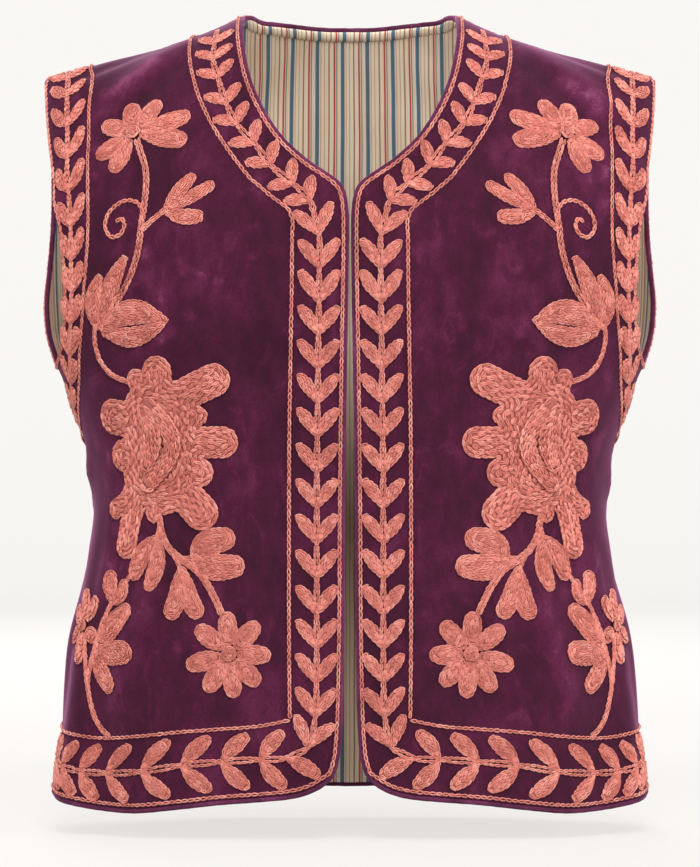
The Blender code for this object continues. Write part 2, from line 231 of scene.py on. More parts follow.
SEAM_DIP = 0.9  # how far the velvet turns in along a seam
SEAM_SOFTNESS = 2.6

LOWEST_UP = -540.0
ROW_STEP = 2.0
STATIONS = 300
TANGENT_STEP = 1.5
LEAST_TURN = 0.05  # two stretches of an edge that turn by less than this share are one line
PANEL_GAP = ROLL * 0.85  # from a piece's edge to where its cloth ends, inside the rolled edge
VELVET_STEPS = 4  # grid steps for each step of the tables


def rows_of(table, columns):
    """The rows of a table, each as its values under the names of their columns."""
    return [dict(zip(columns, row)) for row in table]


def smooth(table, at, column=1):
    """A smooth curve through the table's rows, read at the given values of its first column."""
    x, y = table[:, 0], table[:, column]
    slope = np.gradient(y, x)
    at = np.clip(at, x[0], x[-1])
    row = np.clip(np.searchsorted(x, at) - 1, 0, len(x) - 2)
    span = x[row + 1] - x[row]
    u = (at - x[row]) / span
    ends = (2 * u**3 - 3 * u**2 + 1) * y[row] + (3 * u**2 - 2 * u**3) * y[row + 1]
    return ends + ((u**3 - 2 * u**2 + u) * slope[row] + (u**3 - u**2) * slope[row + 1]) * span


def unit(vectors):
    """The same ways, each with a length of 1."""
    return vectors / np.linalg.norm(vectors, axis=-1, keepdims=True)


def smooth_path(run, points, at):
    """A smooth path through the points, which lie at the given runs, read at other runs."""
    table = np.column_stack([run, points])
    return np.stack([smooth(table, at, column) for column in (1, 2)], axis=-1)


def ring_values(height):
    """Half width, front depth, back depth and squareness at the given heights."""
    return (smooth(RINGS, height, column) for column in range(1, len(RING_COLUMNS)))


def shoulder_turns(samples=400):
    """The angle turned from upright to level against the distance along the cloth."""
    half_width, front, _, squareness = ring_values(CHEST_LEVEL)
    reach = front * (1 - (MEASURE_COLUMN / half_width) ** squareness) ** (1 / squareness)
    turn = np.linspace(0, np.pi / 2, samples)
    rise = (smooth(SHOULDER, MEASURE_COLUMN) - CHEST_LEVEL) * np.sin(turn)
    depth = reach * np.cos(turn)
    along = np.concatenate([[0], np.cumsum(np.hypot(np.diff(rise), np.diff(depth)))])
    return along, turn


ALONG, TURN = shoulder_turns()
TOP_UP = CHEST_LEVEL + ALONG[-1]
UPS = np.append(np.arange(LOWEST_UP, TOP_UP, ROW_STEP), TOP_UP)


def half_rings(samples=721):
    """Half of each ring, from the centre front to the centre back, and the length along it."""
    turn = np.interp(UPS - CHEST_LEVEL, ALONG, TURN)[:, None]
    edge_rise = SHOULDER[-1, 1] - CHEST_LEVEL
    height = np.where(UPS[:, None] <= CHEST_LEVEL, UPS[:, None], CHEST_LEVEL + edge_rise * np.sin(turn))
    half_width, front, back, squareness = ring_values(height)
    angle = np.linspace(0, np.pi, samples)[None, :]
    x = half_width * np.abs(np.sin(angle)) ** (2 / squareness)
    depth = np.where(angle < np.pi / 2, -front, back) * np.cos(turn)
    y = depth * np.abs(np.cos(angle)) ** (2 / squareness)
    over = CHEST_LEVEL + (smooth(SHOULDER, x) - CHEST_LEVEL) * np.sin(turn)
    z = np.where(UPS[:, None] <= CHEST_LEVEL, UPS[:, None] + 0 * x, over)
    rings = np.stack([x, y, z], axis=-1)
    steps = np.linalg.norm(np.diff(rings, axis=1), axis=2)
    return rings, np.pad(np.cumsum(steps, axis=1), ((0, 0), (1, 0)))


RING_POINTS, RING_LENGTHS = half_rings()
HALF_RING = RING_LENGTHS.shape[1] // 2


def side_at(up):
    """The distance round from the centre front to the side seam."""
    return np.interp(up, UPS, RING_LENGTHS[:, HALF_RING])


def centre_back_at(up):
    """The distance round from the centre front to the centre back."""
    return np.interp(up, UPS, RING_LENGTHS[:, -1])


def figure_table():
    """Each half ring read at even steps, so that the seams fall on the same columns all the way up."""
    table = np.empty((len(UPS), 2 * STATIONS + 1, 3))
    even = np.linspace(0, 1, STATIONS + 1)
    for row, (points, lengths) in enumerate(zip(RING_POINTS, RING_LENGTHS)):
        side, end = lengths[HALF_RING], lengths[-1]
        at = np.append(even[:-1] * side, side + even * (end - side))
        for axis in range(3):
            table[row, :, axis] = np.interp(at, lengths, points[:, axis])
    return table


FIGURE = figure_table()


def on_figure(around, up):
    """The place on the bare figure."""
    around, up = np.broadcast_arrays(np.asarray(around, float), np.asarray(up, float))
    up = np.clip(up, UPS[0], UPS[-1])
    side, back = side_at(up), centre_back_at(up)
    half = np.where(around < 0, -1.0, 1.0)
    distance = np.abs(around)
    half = np.where(distance > back, -half, half)
    distance = np.where(distance > back, 2 * back - distance, distance)
    column = np.where(distance < side, distance / side, 1 + (distance - side) / (back - side)) * STATIONS
    row = np.interp(up, UPS, np.arange(len(UPS)))
    i = np.clip(row.astype(int), 0, len(UPS) - 2)
    j = np.clip(column.astype(int), 0, 2 * STATIONS - 1)
    u, v = (row - i)[..., None], (column - j)[..., None]
    low = FIGURE[i, j] * (1 - v) + FIGURE[i, j + 1] * v
    high = FIGURE[i + 1, j] * (1 - v) + FIGURE[i + 1, j + 1] * v
    point = low * (1 - u) + high * u
    point[..., 0] *= half
    return point


def fold_height(around, up):
    """How far the large folds lift the cloth off the figure."""
    height = np.zeros(np.shape(around))
    for fold in rows_of(FOLDS, FOLD_COLUMNS):
        middle, reach = (fold["lower"] + fold["upper"]) / 2, (fold["upper"] - fold["lower"]) / 2
        fade = np.clip(1 - ((up - middle) / reach) ** 2, 0, None) ** 2
        outward = np.sign(fold["around"]) * fold["lean"] * (up - LEAN_FROM)
        off = (around - fold["around"] - outward) / fold["half_width"]
        height = height + fold["height"] * fade * np.exp(-(off**2))
    return height


def strokes(table, around, up):
    """The sum of soft strokes, each highest along its middle and fading to nothing at both ends."""
    height = np.zeros(np.shape(around))
    for stroke in rows_of(table, CREASE_COLUMNS):
        start = np.array([stroke["from_around"], stroke["from_up"]])
        run = np.array([stroke["to_around"], stroke["to_up"]]) - start
        length = np.hypot(*run)
        east, north = around - start[0], up - start[1]
        share = np.clip((east * run[0] + north * run[1]) / length**2, 0, 1)
        off = (east * run[1] - north * run[0]) / length / stroke["half_width"]
        height = height + stroke["height"] * np.sin(np.pi * share) * np.exp(-(off**2))
    return height


def crease_height(around, up):
    """How far the smaller creases lift it, and how far it turns in at the side and shoulder seams."""
    height = CREASE_DEPTH * strokes(CREASES, around, up)
    underarm = FRONT_ROWS[UNDERARM_ROW][1][1]
    side = np.where(up < underarm, np.abs(np.abs(around) - side_at(up)), TOP_UP - up)
    nearest = np.minimum(side, TOP_UP - up)
    return height - SEAM_DIP * np.exp(-((nearest / SEAM_SOFTNESS) ** 2))


def directions(around, up):
    """How far the place moves for each mm round and each mm up, and the way out of the cloth."""
    step = TANGENT_STEP
    up = np.minimum(up, TOP_UP)
    top = np.minimum(up + step, TOP_UP)
    across = (on_figure(around + step, up) - on_figure(around - step, up)) / (2 * step)
    upward = (on_figure(around, top) - on_figure(around, up - step)) / (top - up + step)[..., None]
    return across, upward, unit(np.cross(across, upward))


def cloth(around, up, inward=0.0):
    """The place on the velvet's outer face, or this far inward from it."""
    around, up = np.asarray(around, float), np.asarray(up, float)
    outward = directions(around, up)[2]
    lift = fold_height(around, up) + crease_height(around, up) - inward
    return on_figure(around, up) + outward * lift[..., None]


def flat(place, back=False):
    """(around, up) of a table entry, with the seams' names replaced by where they lie."""
    around, up = place
    up = TOP_UP if up == TOP else up
    if around == SIDE:
        around = side_at(up)
    elif back:
        around = centre_back_at(up) - around
    return float(around), float(up)


def from_back(places):
    """Places given from the centre back, as (around, up)."""
    return np.array([flat(place, back=True) for place in places])


def front_sides():
    """The four sides of a front: hem, outer edge, shoulder and inner edge."""
    starts, ends = zip(*FRONT_ROWS)
    shoulder = [(around, TOP) for around in FRONT_SHOULDER]
    return [np.array([flat(place) for place in side]) for side in (FRONT_HEM, ends, shoulder, starts)]


def back_sides():
    """The four sides of the back's left half, from the centre back out to the side seam."""
    seam = np.array([flat(end) for _, end in FRONT_ROWS[: UNDERARM_ROW + 1]])
    hem_ups = np.interp(BACK_HEM, (0, BACK_HEM[-1]), (BACK_CENTRE[0], seam[0, 1]))
    hem = np.vstack([from_back(zip(BACK_HEM, hem_ups)), seam[:1]])
    outer = np.vstack([seam, from_back(BACK_ARMHOLE)])
    top = from_back(BACK_NECK + [(around, TOP) for around in BACK_SHOULDER])
    return [hem, outer, top, from_back([(0, up) for up in BACK_CENTRE])]


# The sides of the left front and of the back's left half.
FRONT, BACK = front_sides(), back_sides()


def stretch_gaps(sides, bound, hem):
    """The gap for each stretch of a piece's sides: its rolled edges, its hem and its seams."""
    rows, columns = len(sides[OUTER_SIDE]) - 1, len(sides[HEM_SIDE]) - 1
    outer = [0] * UNDERARM_ROW + [bound] * (rows - UNDERARM_ROW)
    if sides is FRONT:
        top, inner = [0] * columns, [bound] * rows
    else:
        top, inner = [0] * (columns - NECK_CORNER) + [bound] * NECK_CORNER, [0] * rows
    return np.array([hem] * columns + outer + top + inner, float)


def drawn_in(sides, bound, hem=None):
    """A piece's sides moved into the cloth, as measured on the figure: this far at its rolled edges,
    as far or by a gap of its own at its hem, and not at all at its seams."""
    gap = stretch_gaps(sides, bound, bound if hem is None else hem)
    hem, outer, top, inner = sides
    loop = np.concatenate([hem[:-1], outer[:-1], top[::-1][:-1], inner[::-1][:-1]])
    across, upward, outward = directions(loop[:, 0], loop[:, 1])
    points = on_figure(loop[:, 0], loop[:, 1])
    turn = np.sign(np.sum(loop[:, 0] * np.roll(loop[:, 1], -1) - loop[:, 1] * np.roll(loop[:, 0], -1)))
    moved = loop.copy()
    for i in range(len(loop)):
        slopes = np.stack([across[i], upward[i]])
        steps = np.array([points[i] - points[i - 1], points[(i + 1) % len(loop)] - points[i]])
        inward = unit(turn * np.cross(outward[i], steps))
        moved[i] += np.linalg.pinv(inward @ slopes.T, rcond=LEAST_TURN) @ (gap[i - 1], gap[i])
    ends = np.cumsum([0, len(hem) - 1, len(outer) - 1, len(top) - 1])
    ring = np.vstack([moved, moved[:1]])
    hem_in, outer_in, top_in = (ring[a : b + 1] for a, b in zip(ends[:-1], ends[1:]))
    return hem_in, outer_in, top_in[::-1], ring[ends[-1] :][::-1]


def closer(side, parts, corner=None):
    """The side with this many steps for each of its own, smooth but for one corner."""
    steps = np.arange(len(side))
    stretches = [(0, len(side) - 1)] if corner is None else [(0, corner), (corner, len(side) - 1)]
    found = []
    for first, last in stretches:
        at = np.linspace(first, last, (last - first) * parts + 1)
        found.append(smooth_path(steps[first : last + 1], side[first : last + 1], at))
    return found[0] if corner is None else np.vstack([found[0], found[1][1:]])


def filled(sides):
    """A grid of places between the four sides."""
    hem, outer, top, inner = sides
    v = np.linspace(0, 1, len(inner))[:, None, None]
    u = np.linspace(0, 1, len(hem))[None, :, None]
    between = (1 - u) * inner[:, None] + u * outer[:, None] + (1 - v) * hem[None] + v * top[None]
    corners = (1 - u) * (1 - v) * hem[0] + u * (1 - v) * hem[-1] + (1 - u) * v * top[0] + u * v * top[-1]
    return between - corners


def mirrored(table, columns=(0,)):
    """The same places on the other half of the figure. The columns are those that run around."""
    return table * [-1 if column in columns else 1 for column in range(table.shape[-1])]


def panels(parts):
    """The grids of the left front, the right front and the whole back."""
    grids = []
    for sides in (FRONT, BACK):
        hem, outer, top, inner = drawn_in(sides, PANEL_GAP)
        outer = closer(outer, parts, UNDERARM_ROW)
        top = closer(top, parts, NECK_CORNER if sides is BACK else None)
        grids.append(filled([closer(hem, parts), outer, top, closer(inner, parts)]))
    front, half_back = grids
    back = np.concatenate([half_back[:, ::-1], mirrored(half_back)[:, 1:]], axis=1)
    return {"front_left": front, "front_right": mirrored(front)[:, ::-1], "back": back}


def cut_area(places):
    """The flat area of a grid of places, in square metres."""
    past_back = np.abs(places[..., 0] - places[:, :1, 0]) > centre_back_at(places[..., 1])
    around = np.where(past_back, places[..., 0] + 2 * centre_back_at(places[..., 1]), places[..., 0])
    first = np.stack([np.diff(around, axis=1), np.diff(places[..., 1], axis=1)])[:, :-1]
    second = np.stack([np.diff(around, axis=0), np.diff(places[..., 1], axis=0)])[:, :, :-1]
    return float(np.abs(first[0] * second[1] - first[1] * second[0]).sum()) * MM**2


def flat_size(places):
    """The width and length of the cut, in metres."""
    mirrored_back = places[..., 0].min() < 0 < places[..., 0].max()
    ups = places[..., 1]
    if mirrored_back:
        width = (2 * (centre_back_at(ups) - np.abs(places[..., 0]))).max()
    else:
        width = np.ptp(np.abs(places[..., 0]))
    return float(width) * MM, float(np.ptp(ups)) * MM


def mesh_from(name, bm):
    """The mesh that has been built, with its faces turned outward."""
    bmesh.ops.recalc_face_normals(bm, faces=bm.faces[:])
    mesh = bpy.data.meshes.new(name)
    bm.to_mesh(mesh)
    bm.free()
    return mesh


def into_scene(name, data):
    """An object in the scene, made of a mesh or a curve, or a light or a camera."""
    made = bpy.data.objects.new(name, data)
    bpy.context.scene.collection.objects.link(made)
    return made


def new_piece(name, mesh, look):
    """A piece of the waistcoat, with its place in its mesh, that rides on the root body."""
    mesh.name = name
    mesh.shade_smooth()
    mesh.materials.clear()
    mesh.materials.append(look)
    piece = into_scene(name, mesh)
    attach(piece, "root")
    return piece


def give_values(mesh, name, values):
    """Gives a mesh an attribute with a value for each of its vertices."""
    mesh.attributes.new(name, "FLOAT", "POINT").data.foreach_set("value", values.astype(np.float32))


def cloth_wall(name, places, inward, thickness, look):
    """A cloth wall: a grid laid at the given places, its copy inside it, and a rim between them."""
    rows, columns = places.shape[:2]
    faces = [cloth(places[..., 0], places[..., 1], depth) for depth in (inward, inward + thickness)]
    outer, inner = (face.reshape(-1, 3) * MM for face in faces)
    bm = bmesh.new()
    bmesh.ops.create_grid(bm, x_segments=columns - 1, y_segments=rows - 1, size=1)
    verts = bm.verts[:]
    copy = bmesh.ops.duplicate(bm, geom=bm.verts[:] + bm.edges[:] + bm.faces[:])
    for vert, out_point, in_point in zip(verts, outer, inner):
        vert.co = out_point
        copy["vert_map"][vert].co = in_point
    copied_faces = [part for part in copy["geom"] if isinstance(part, bmesh.types.BMFace)]
    bmesh.ops.reverse_faces(bm, faces=copied_faces)
    bmesh.ops.bridge_loops(bm, edges=[edge for edge in bm.edges if edge.is_boundary])
    return new_piece(name, mesh_from(name, bm), look)


def shade(hex_colour):
    """An sRGB hex colour as the linear values that a shader takes."""
    parts = np.array([int(hex_colour[i : i + 2], 16) for i in (1, 3, 5)]) / 255
    linear = np.where(parts <= 0.04045, parts / 12.92, ((parts + 0.055) / 1.055) ** 2.4)
    return (*linear.tolist(), 1.0)


def finish(name):
    """A new material, with its node tree and its one shader."""
    made = bpy.data.materials.new(name)
    made.use_nodes = True
    return made, made.node_tree, made.node_tree.nodes["Principled BSDF"]


def put(tree, kind, inputs=None, **settings):
    """Adds a node. An input is set to a value, or linked to the node or the output that is given."""
    made = tree.nodes.new("ShaderNode" + kind) if isinstance(kind, str) else kind
    for key, value in settings.items():
        if key == "stops":
            ramp = made.color_ramp.elements
            for place, colour in value[len(ramp) :]:
                ramp.new(place)
            for stop, (place, colour) in zip(ramp, value):
                stop.position, stop.color = place, shade(colour)
        else:
            setattr(made, key, value)
    for key, value in (inputs or {}).items():
        if isinstance(value, bpy.types.Node):
            value = value.outputs[0]
        if isinstance(value, bpy.types.NodeSocket):
            tree.links.new(value, made.inputs[key])
        else:
            made.inputs[key].default_value = value
    return made


def added(tree, value, share, rest):
    """The rest, with this share of a value added to it."""
    return put(tree, "Math", {0: value, 1: share, 2: rest}, operation="MULTIPLY_ADD")


def cotton_velvet(name, dark, middle, light, stroked, grain_size):
    """Cotton velvet: cut pile, about 2 mm long, woven and dyed plum, then pressed and brushed by wear.
    Its pile drinks the light face on and glows violet at the rim. Soft marks a few cm long show where
    it was stroked. Creases are painted lighter on their ridges, partly as their pile leans and partly
    as painted highlight, and darker in their troughs and along the seams, as painted shade. The pile
    itself, finer than can show, is drawn as a grain about 1 mm wide."""
    made, tree, shader = finish(name)
    place = put(tree, "TexCoord").outputs["Object"]
    stretch = put(tree, "Mapping", {"Vector": place, "Scale": (1, 1, 0.6)})
    sweeps = put(tree, "TexNoise", {"Vector": stretch, "Scale": 26, "Detail": 3, "Distortion": 0.5})
    marks = put(tree, "TexNoise", {"Vector": stretch, "Scale": 110, "Detail": 4, "Roughness": 0.6})
    grain = put(tree, "TexNoise", {"Vector": place, "Scale": 1 / (grain_size * MM), "Detail": 2})
    wisps = put(tree, "TexNoise",
                {"Vector": stretch, "Scale": 46, "Detail": 5, "Roughness": 0.62, "Distortion": 1.5})
    combed = put(tree, "MapRange",
                 {"Value": wisps, "From Min": 0.54, "From Max": 0.76, "To Min": 0.02, "To Max": 0.17})
    speckled = added(tree, grain, 0.2, added(tree, marks, 0.3, added(tree, sweeps, 0.42, combed)))
    # Painted highlight on the creases' ridges, painted shade in their troughs and along the seams, and the
    # lighter pile marks.
    crease = put(tree, "Attribute", attribute_name="crease").outputs["Fac"]
    colour = put(tree, "ValToRGB", {0: added(tree, crease, 0.09, speckled)},
                 stops=[(0.38, dark), (0.5, middle), (0.64, light), (0.86, stroked)])
    bump = put(tree, "Bump", {"Strength": 0.5, "Distance": 0.0006, "Height": speckled})
    put(tree, shader, {"Base Color": colour, "Roughness": 0.9, "Specular IOR Level": 0.15,
                       "Sheen Weight": 0.76, "Sheen Roughness": 0.4, "Sheen Tint": shade("#c983b2"),
                       "Normal": bump})
    return made


def pile_marks():
    """The marks of both fronts. The left's are like the right's, but no two are quite the same."""
    chance = np.random.default_rng(MARK_SEED)
    left = mirrored(PILE_MARKS, (0, 2))
    for mark in left:
        mark[:4] += chance.normal(0, MARK_SHIFT, 4)
        mark[5] *= chance.uniform(*MARK_STRENGTHS)
    return np.vstack([PILE_MARKS, left])


def paint_crease_shade_and_pile_marks(piece, places):
    """Gives a velvet wall an attribute: more than 0 on a ridge, as painted highlight, and on a stroked pile
    mark, and less than 0 in a trough and along a seam, as painted shade.
    """
    around, up = places[..., 0], places[..., 1]
    raised = np.clip(crease_height(around, up) / CREASE_DEPTH, -MOST_RAISED, MOST_RAISED)
    lightness = raised + MARK_LIGHTNESS * strokes(pile_marks(), around, up)
    give_values(piece.data, "crease", np.tile(lightness.ravel(), 2))


velvet = cotton_velvet("plum_cotton_velvet", "#330e21", "#43122b", "#591e3e", "#8a486b", 1.2)
for panel, places in panels(VELVET_STEPS).items():
    piece = cloth_wall("velvet_" + panel, places, 0, VELVET, velvet)
    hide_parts(panel)
    flat_size(places)
    cut_area(places)
    paint_crease_shade_and_pile_marks(piece, places)


# --- Cotton lining ------------------------------------------------------------------------
# A lining of striped cotton ticking in the same three pieces, cut with the stripes upright. It
# is sewn in by hand along the neck, the fronts, the hem and the armholes, and shows inside.

COTTON = 0.9  # how thick the lining is
CLEAR = 0.3  # from the velvet to the lining
STRIPE_REPEAT = 18.85
STRIPE_COLUMNS = ("centre", "width", "colour")
STRIPES = [
    (2.6, 0.6, "#cfb096"),
    (5.3, 0.5, "#cbab8e"),
    (8.7, 1.0, "#a67f63"),
    (12.7, 1.3, "#d0565a"),
    (14.4, 0.9, "#9a9c8b"),
    (15.8, 0.9, "#f3e6d8"),
]
BLUE = "#5d8199"
BLUE_WIDTH = 2.9
TICKING_GROUND = "#ffefd9"
FIRST_BLUE = -5.0  # the blue stripe nearest to the centre back lies this far to its left
PAINTED_SHADE_HEIGHT = -0.24  # metres, the middle of the painted shade deep inside the lining
PAINTED_SHADE_SIZE = (0.13, 0.215)  # metres each way from that middle
LINING_STEPS = 3
BAND_EDGES = (ROLL * 0.6, 10.4)  # from the back's neck edge to each of the band's edges
BAND_PARTS = 16
BAND_ROWS = 6
BAND_PUFF = 1.4  # how far the band stands off the lining in its middle
PUFF_SPAN = (0.06, 0.98)  # how far along a full arch its two edges lie
PUFF_ROUNDNESS = 0.7
BAND_THICKNESS = 0.5
BAND_STRIPE_SHIFT = 1.0  # its stripes miss those of the lining by this much


def striped_ticking():
    """Cotton ticking: a close, plain weave with dyed warp threads, calendered smooth. It is matt, with
    thin crisp stripes, and slubs that run along them. Its 0.4 mm threads are drawn 1 mm wide."""
    made, tree, shader = finish("striped_cotton_ticking")
    cut = put(tree, "UVMap", uv_map="cut").outputs[0]
    split = put(tree, "SeparateXYZ", {0: cut})
    waver = put(tree, "TexNoise", {"Vector": cut, "Scale": 18, "Detail": 1})
    shifted = added(tree, waver, 0.0012, split)
    repeats = put(tree, "Math", {0: shifted, 1: 1 / (STRIPE_REPEAT * MM)}, operation="MULTIPLY")
    share = put(tree, "Math", {0: repeats}, operation="FRACT")
    half_blue = BLUE_WIDTH / 2 / STRIPE_REPEAT
    stops = [(0, BLUE), (half_blue, TICKING_GROUND)]
    for stripe in rows_of(STRIPES, STRIPE_COLUMNS):
        start = (stripe["centre"] - stripe["width"] / 2) / STRIPE_REPEAT
        stops += [(start, stripe["colour"]), (start + stripe["width"] / STRIPE_REPEAT, TICKING_GROUND)]
    stops.append((1 - half_blue, BLUE))
    stripes = put(tree, "ValToRGB", {0: share}, stops=stops)
    stripes.color_ramp.interpolation = "CONSTANT"
    along = put(tree, "Mapping", {"Vector": cut, "Scale": (1000, 30, 1)})
    slubs = put(tree, "TexNoise", {"Vector": along, "Scale": 1, "Detail": 3})
    worn = put(tree, "TexNoise", {"Vector": cut, "Scale": 22, "Detail": 3})
    tone = put(tree, "Math", {0: slubs, 1: worn}, operation="ADD")
    half = put(tree, "Math", {0: tone, 1: 0.5}, operation="MULTIPLY")
    tones = put(tree, "ValToRGB", {0: half}, stops=[(0.35, "#f6eee4"), (0.6, "#ffffff")])
    toned = put(tree, "Mix", {0: 1.0, 6: stripes, 7: tones}, data_type="RGBA", blend_type="MULTIPLY")
    # Painted shade: the lining's stripes and slubs are darkened towards a middle deep inside, where the
    # fronts shade it, and keep their full colour at the neck and the armholes.
    place = put(tree, "TexCoord").outputs["Object"]
    width, height = PAINTED_SHADE_SIZE
    inside = put(tree, "Mapping", {"Vector": place, "Location": (0, 0, -PAINTED_SHADE_HEIGHT / height),
                                   "Scale": (1 / width, 0, 1 / height)})
    away = put(tree, "VectorMath", {0: inside}, operation="LENGTH").outputs["Value"]
    painted_inner_shade = put(tree, "ValToRGB", {0: away}, stops=[(0.45, "#aeaba8"), (1.0, "#ffffff")])
    dyed = put(tree, "Mix", {0: 1.0, 6: toned.outputs[2], 7: painted_inner_shade}, data_type="RGBA",
               blend_type="MULTIPLY")
    bump = put(tree, "Bump", {"Strength": 0.35, "Distance": 0.0004, "Height": slubs})
    put(tree, shader, {"Base Color": dyed.outputs[2], "Roughness": 0.85, "Specular IOR Level": 0.25,
                       "Sheen Weight": 0.1, "Normal": bump})
    return made


def map_cut(piece, places):
    """Gives a cloth wall a UV map in metres of the flat cut, counted from the centre back."""
    from_back = centre_back_at(places[..., 1]) - np.abs(places[..., 0])
    across = np.where(places[..., 0] < 0, -from_back, from_back) - FIRST_BLUE
    flat_places = np.stack([across, places[..., 1]], axis=-1).reshape(-1, 2) * MM
    mesh = piece.data
    corners = np.empty(len(mesh.loops), np.int32)
    mesh.loops.foreach_get("vertex_index", corners)
    cut = mesh.uv_layers.new(name="cut")
    cut.data.foreach_set("uv", flat_places[corners % len(flat_places)].ravel().astype(np.float32))


def neck_band(rows):
    """Places between the back's neck edge and a line that runs below it, across the whole back."""
    edges = []
    for gap in BAND_EDGES:
        top = drawn_in(BACK, gap)[TOP_SIDE]
        half = closer(top[: len(BACK_NECK)], BAND_PARTS)
        edges.append(np.vstack([half[::-1], mirrored(half)[1:]]))
    share = np.linspace(0, 1, rows + 1)[:, None, None]
    return edges[0][None] * (1 - share) + edges[1][None] * share


ticking = striped_ticking()
band_places = neck_band(BAND_ROWS)
arch = np.sin(np.pi * np.linspace(*PUFF_SPAN, BAND_ROWS + 1))[:, None]
puff = BAND_PUFF * arch**PUFF_ROUNDNESS
band_depth = VELVET + CLEAR + COTTON + puff * np.ones(band_places.shape[:2])
neck_facing = cloth_wall("lining_neck_facing", band_places, band_depth, BAND_THICKNESS, ticking)
map_cut(neck_facing, band_places + (BAND_STRIPE_SHIFT, 0))
for panel, places in panels(LINING_STEPS).items():
    piece = cloth_wall("lining_of_" + panel, places, VELVET + CLEAR, COTTON, ticking)
    map_cut(piece, places)
    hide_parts("lining_" + panel)
    flat_size(places)
    cut_area(places)


# --- Rolled edges -------------------------------------------------------------------------
# Bias strips of the same velvet, rolled tight and sewn over every raw edge: one strip runs round
# the neck, down the fronts and along the hem, and one round each armhole. It puckers a little.

ROLL_STEP = 3.0
ROLL_PARTS = 6  # how many steps the route takes for each step of the tables
ROLL_ROUNDNESS = 4
SAME_PLACE = 1e-6  # metres
PUCKER = 0.05  # how much the roll swells and narrows, as a share of its radius
PUCKER_LENGTHS = (13.0, 8.3)


def edge_side(which, sides, parts, bound, hem=None):
    """One side of a piece, drawn in and read closely."""
    corners = {OUTER_SIDE: UNDERARM_ROW, TOP_SIDE: NECK_CORNER}
    return closer(drawn_in(sides, bound, hem)[which], parts, corners.get(which))


def roll_side(which, sides):
    """One side of a piece, where the middle of the rolled edge runs."""
    return edge_side(which, sides, ROLL_PARTS, ROLL / 2)


def main_route():
    """Round the neck, down one front edge, along the hem and up the other front edge."""
    down_front = np.vstack([roll_side(INNER_SIDE, FRONT)[::-1], roll_side(HEM_SIDE, FRONT)[1:]])
    half_hem = roll_side(HEM_SIDE, BACK)[::-1][1:]
    half_neck = roll_side(TOP_SIDE, BACK)[: ROLL_PARTS * NECK_CORNER]
    left = np.vstack([down_front, half_hem])
    right = mirrored(np.vstack([half_hem[:-1][::-1], down_front[::-1]]))
    return np.vstack([left, right, mirrored(half_neck[::-1])[:-1], half_neck])


def armhole_route():
    """Up the front of an armhole, from its lowest place, and down its back."""
    up_front, up_back = (roll_side(OUTER_SIDE, sides)[ROLL_PARTS * UNDERARM_ROW :]
                         for sides in (FRONT, BACK))
    return np.vstack([up_front, up_back[::-1][1:-1]])


def run_along(path):
    """How far along a path each of its places lies."""
    return np.concatenate([[0], np.cumsum(np.linalg.norm(np.diff(path, axis=0), axis=1))])


def read_along(path, lengths, at):
    """The places of a path at the given distances along it."""
    return np.stack([np.interp(at, lengths, path[:, axis]) for axis in range(path.shape[1])], axis=-1)


def even_points(points, step, closed=False):
    """The path read at even steps of about this length."""
    path = np.vstack([points, points[:1]]) if closed else points
    lengths = run_along(path)
    count = max(1, round(lengths[-1] / step))
    return read_along(path, lengths, np.linspace(0, lengths[-1], count + 1)[: count + (not closed)])


def solid_of(source):
    """The mesh that a curve, or an object and its modifiers, makes. The object itself is taken away."""
    shown = source.evaluated_get(bpy.context.evaluated_depsgraph_get())
    mesh = bpy.data.meshes.new_from_object(shown)
    bpy.data.objects.remove(source, do_unlink=True)
    return mesh


def rolled_edge(name, places, look):
    """A round tube that closes on itself, centred in the cloth's thickness."""
    middle = (VELVET + CLEAR + COTTON) / 2
    points = even_points(cloth(places[:, 0], places[:, 1], middle), ROLL_STEP, closed=True)
    curve = bpy.data.curves.new(name, "CURVE")
    curve.dimensions = "3D"
    curve.bevel_depth = ROLL / 2 * MM
    curve.bevel_resolution = ROLL_ROUNDNESS
    spline = curve.splines.new("POLY")
    spline.points.add(len(points) - 1)
    for index, (spot, point) in enumerate(zip(spline.points, points)):
        spot.co = (*(point * MM), 1)
        run = index * ROLL_STEP * 2 * np.pi
        spot.radius = 1 + PUCKER * np.mean([np.sin(run / length) for length in PUCKER_LENGTHS])
    spline.use_cyclic_u = True
    bm = bmesh.new()
    bm.from_mesh(solid_of(into_scene(name + "_guide", curve)))
    bmesh.ops.remove_doubles(bm, verts=bm.verts[:], dist=SAME_PLACE)
    return new_piece(name, mesh_from(name, bm), look)


# The rolls take lighter colours than the fronts' velvet: painted sheen, where light grazes the round of
# each roll.
sheen_lit_edge_velvet = cotton_velvet("rolled_cotton_velvet_painted_sheen", "#451a33", "#5b2645", "#75395c", "#9a5a80", 1.0)
edge_routes = {
    "edge_neck_fronts_hem": main_route(),
    "edge_armhole_left": armhole_route(),
    "edge_armhole_right": mirrored(armhole_route())[::-1],
}
for node, route in edge_routes.items():
    piece = rolled_edge(node.replace("edge_", "rolled_edge_"), route, sheen_lit_edge_velvet)
    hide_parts(node)


# --- Chain-stitch lines of the borders ----------------------------------------------------
# Single rows of chain stitch in coral yarn. One row follows each rolled edge, and another marks
# the inner side of the border. Each stitch is a loop of yarn that holds down the one before it.

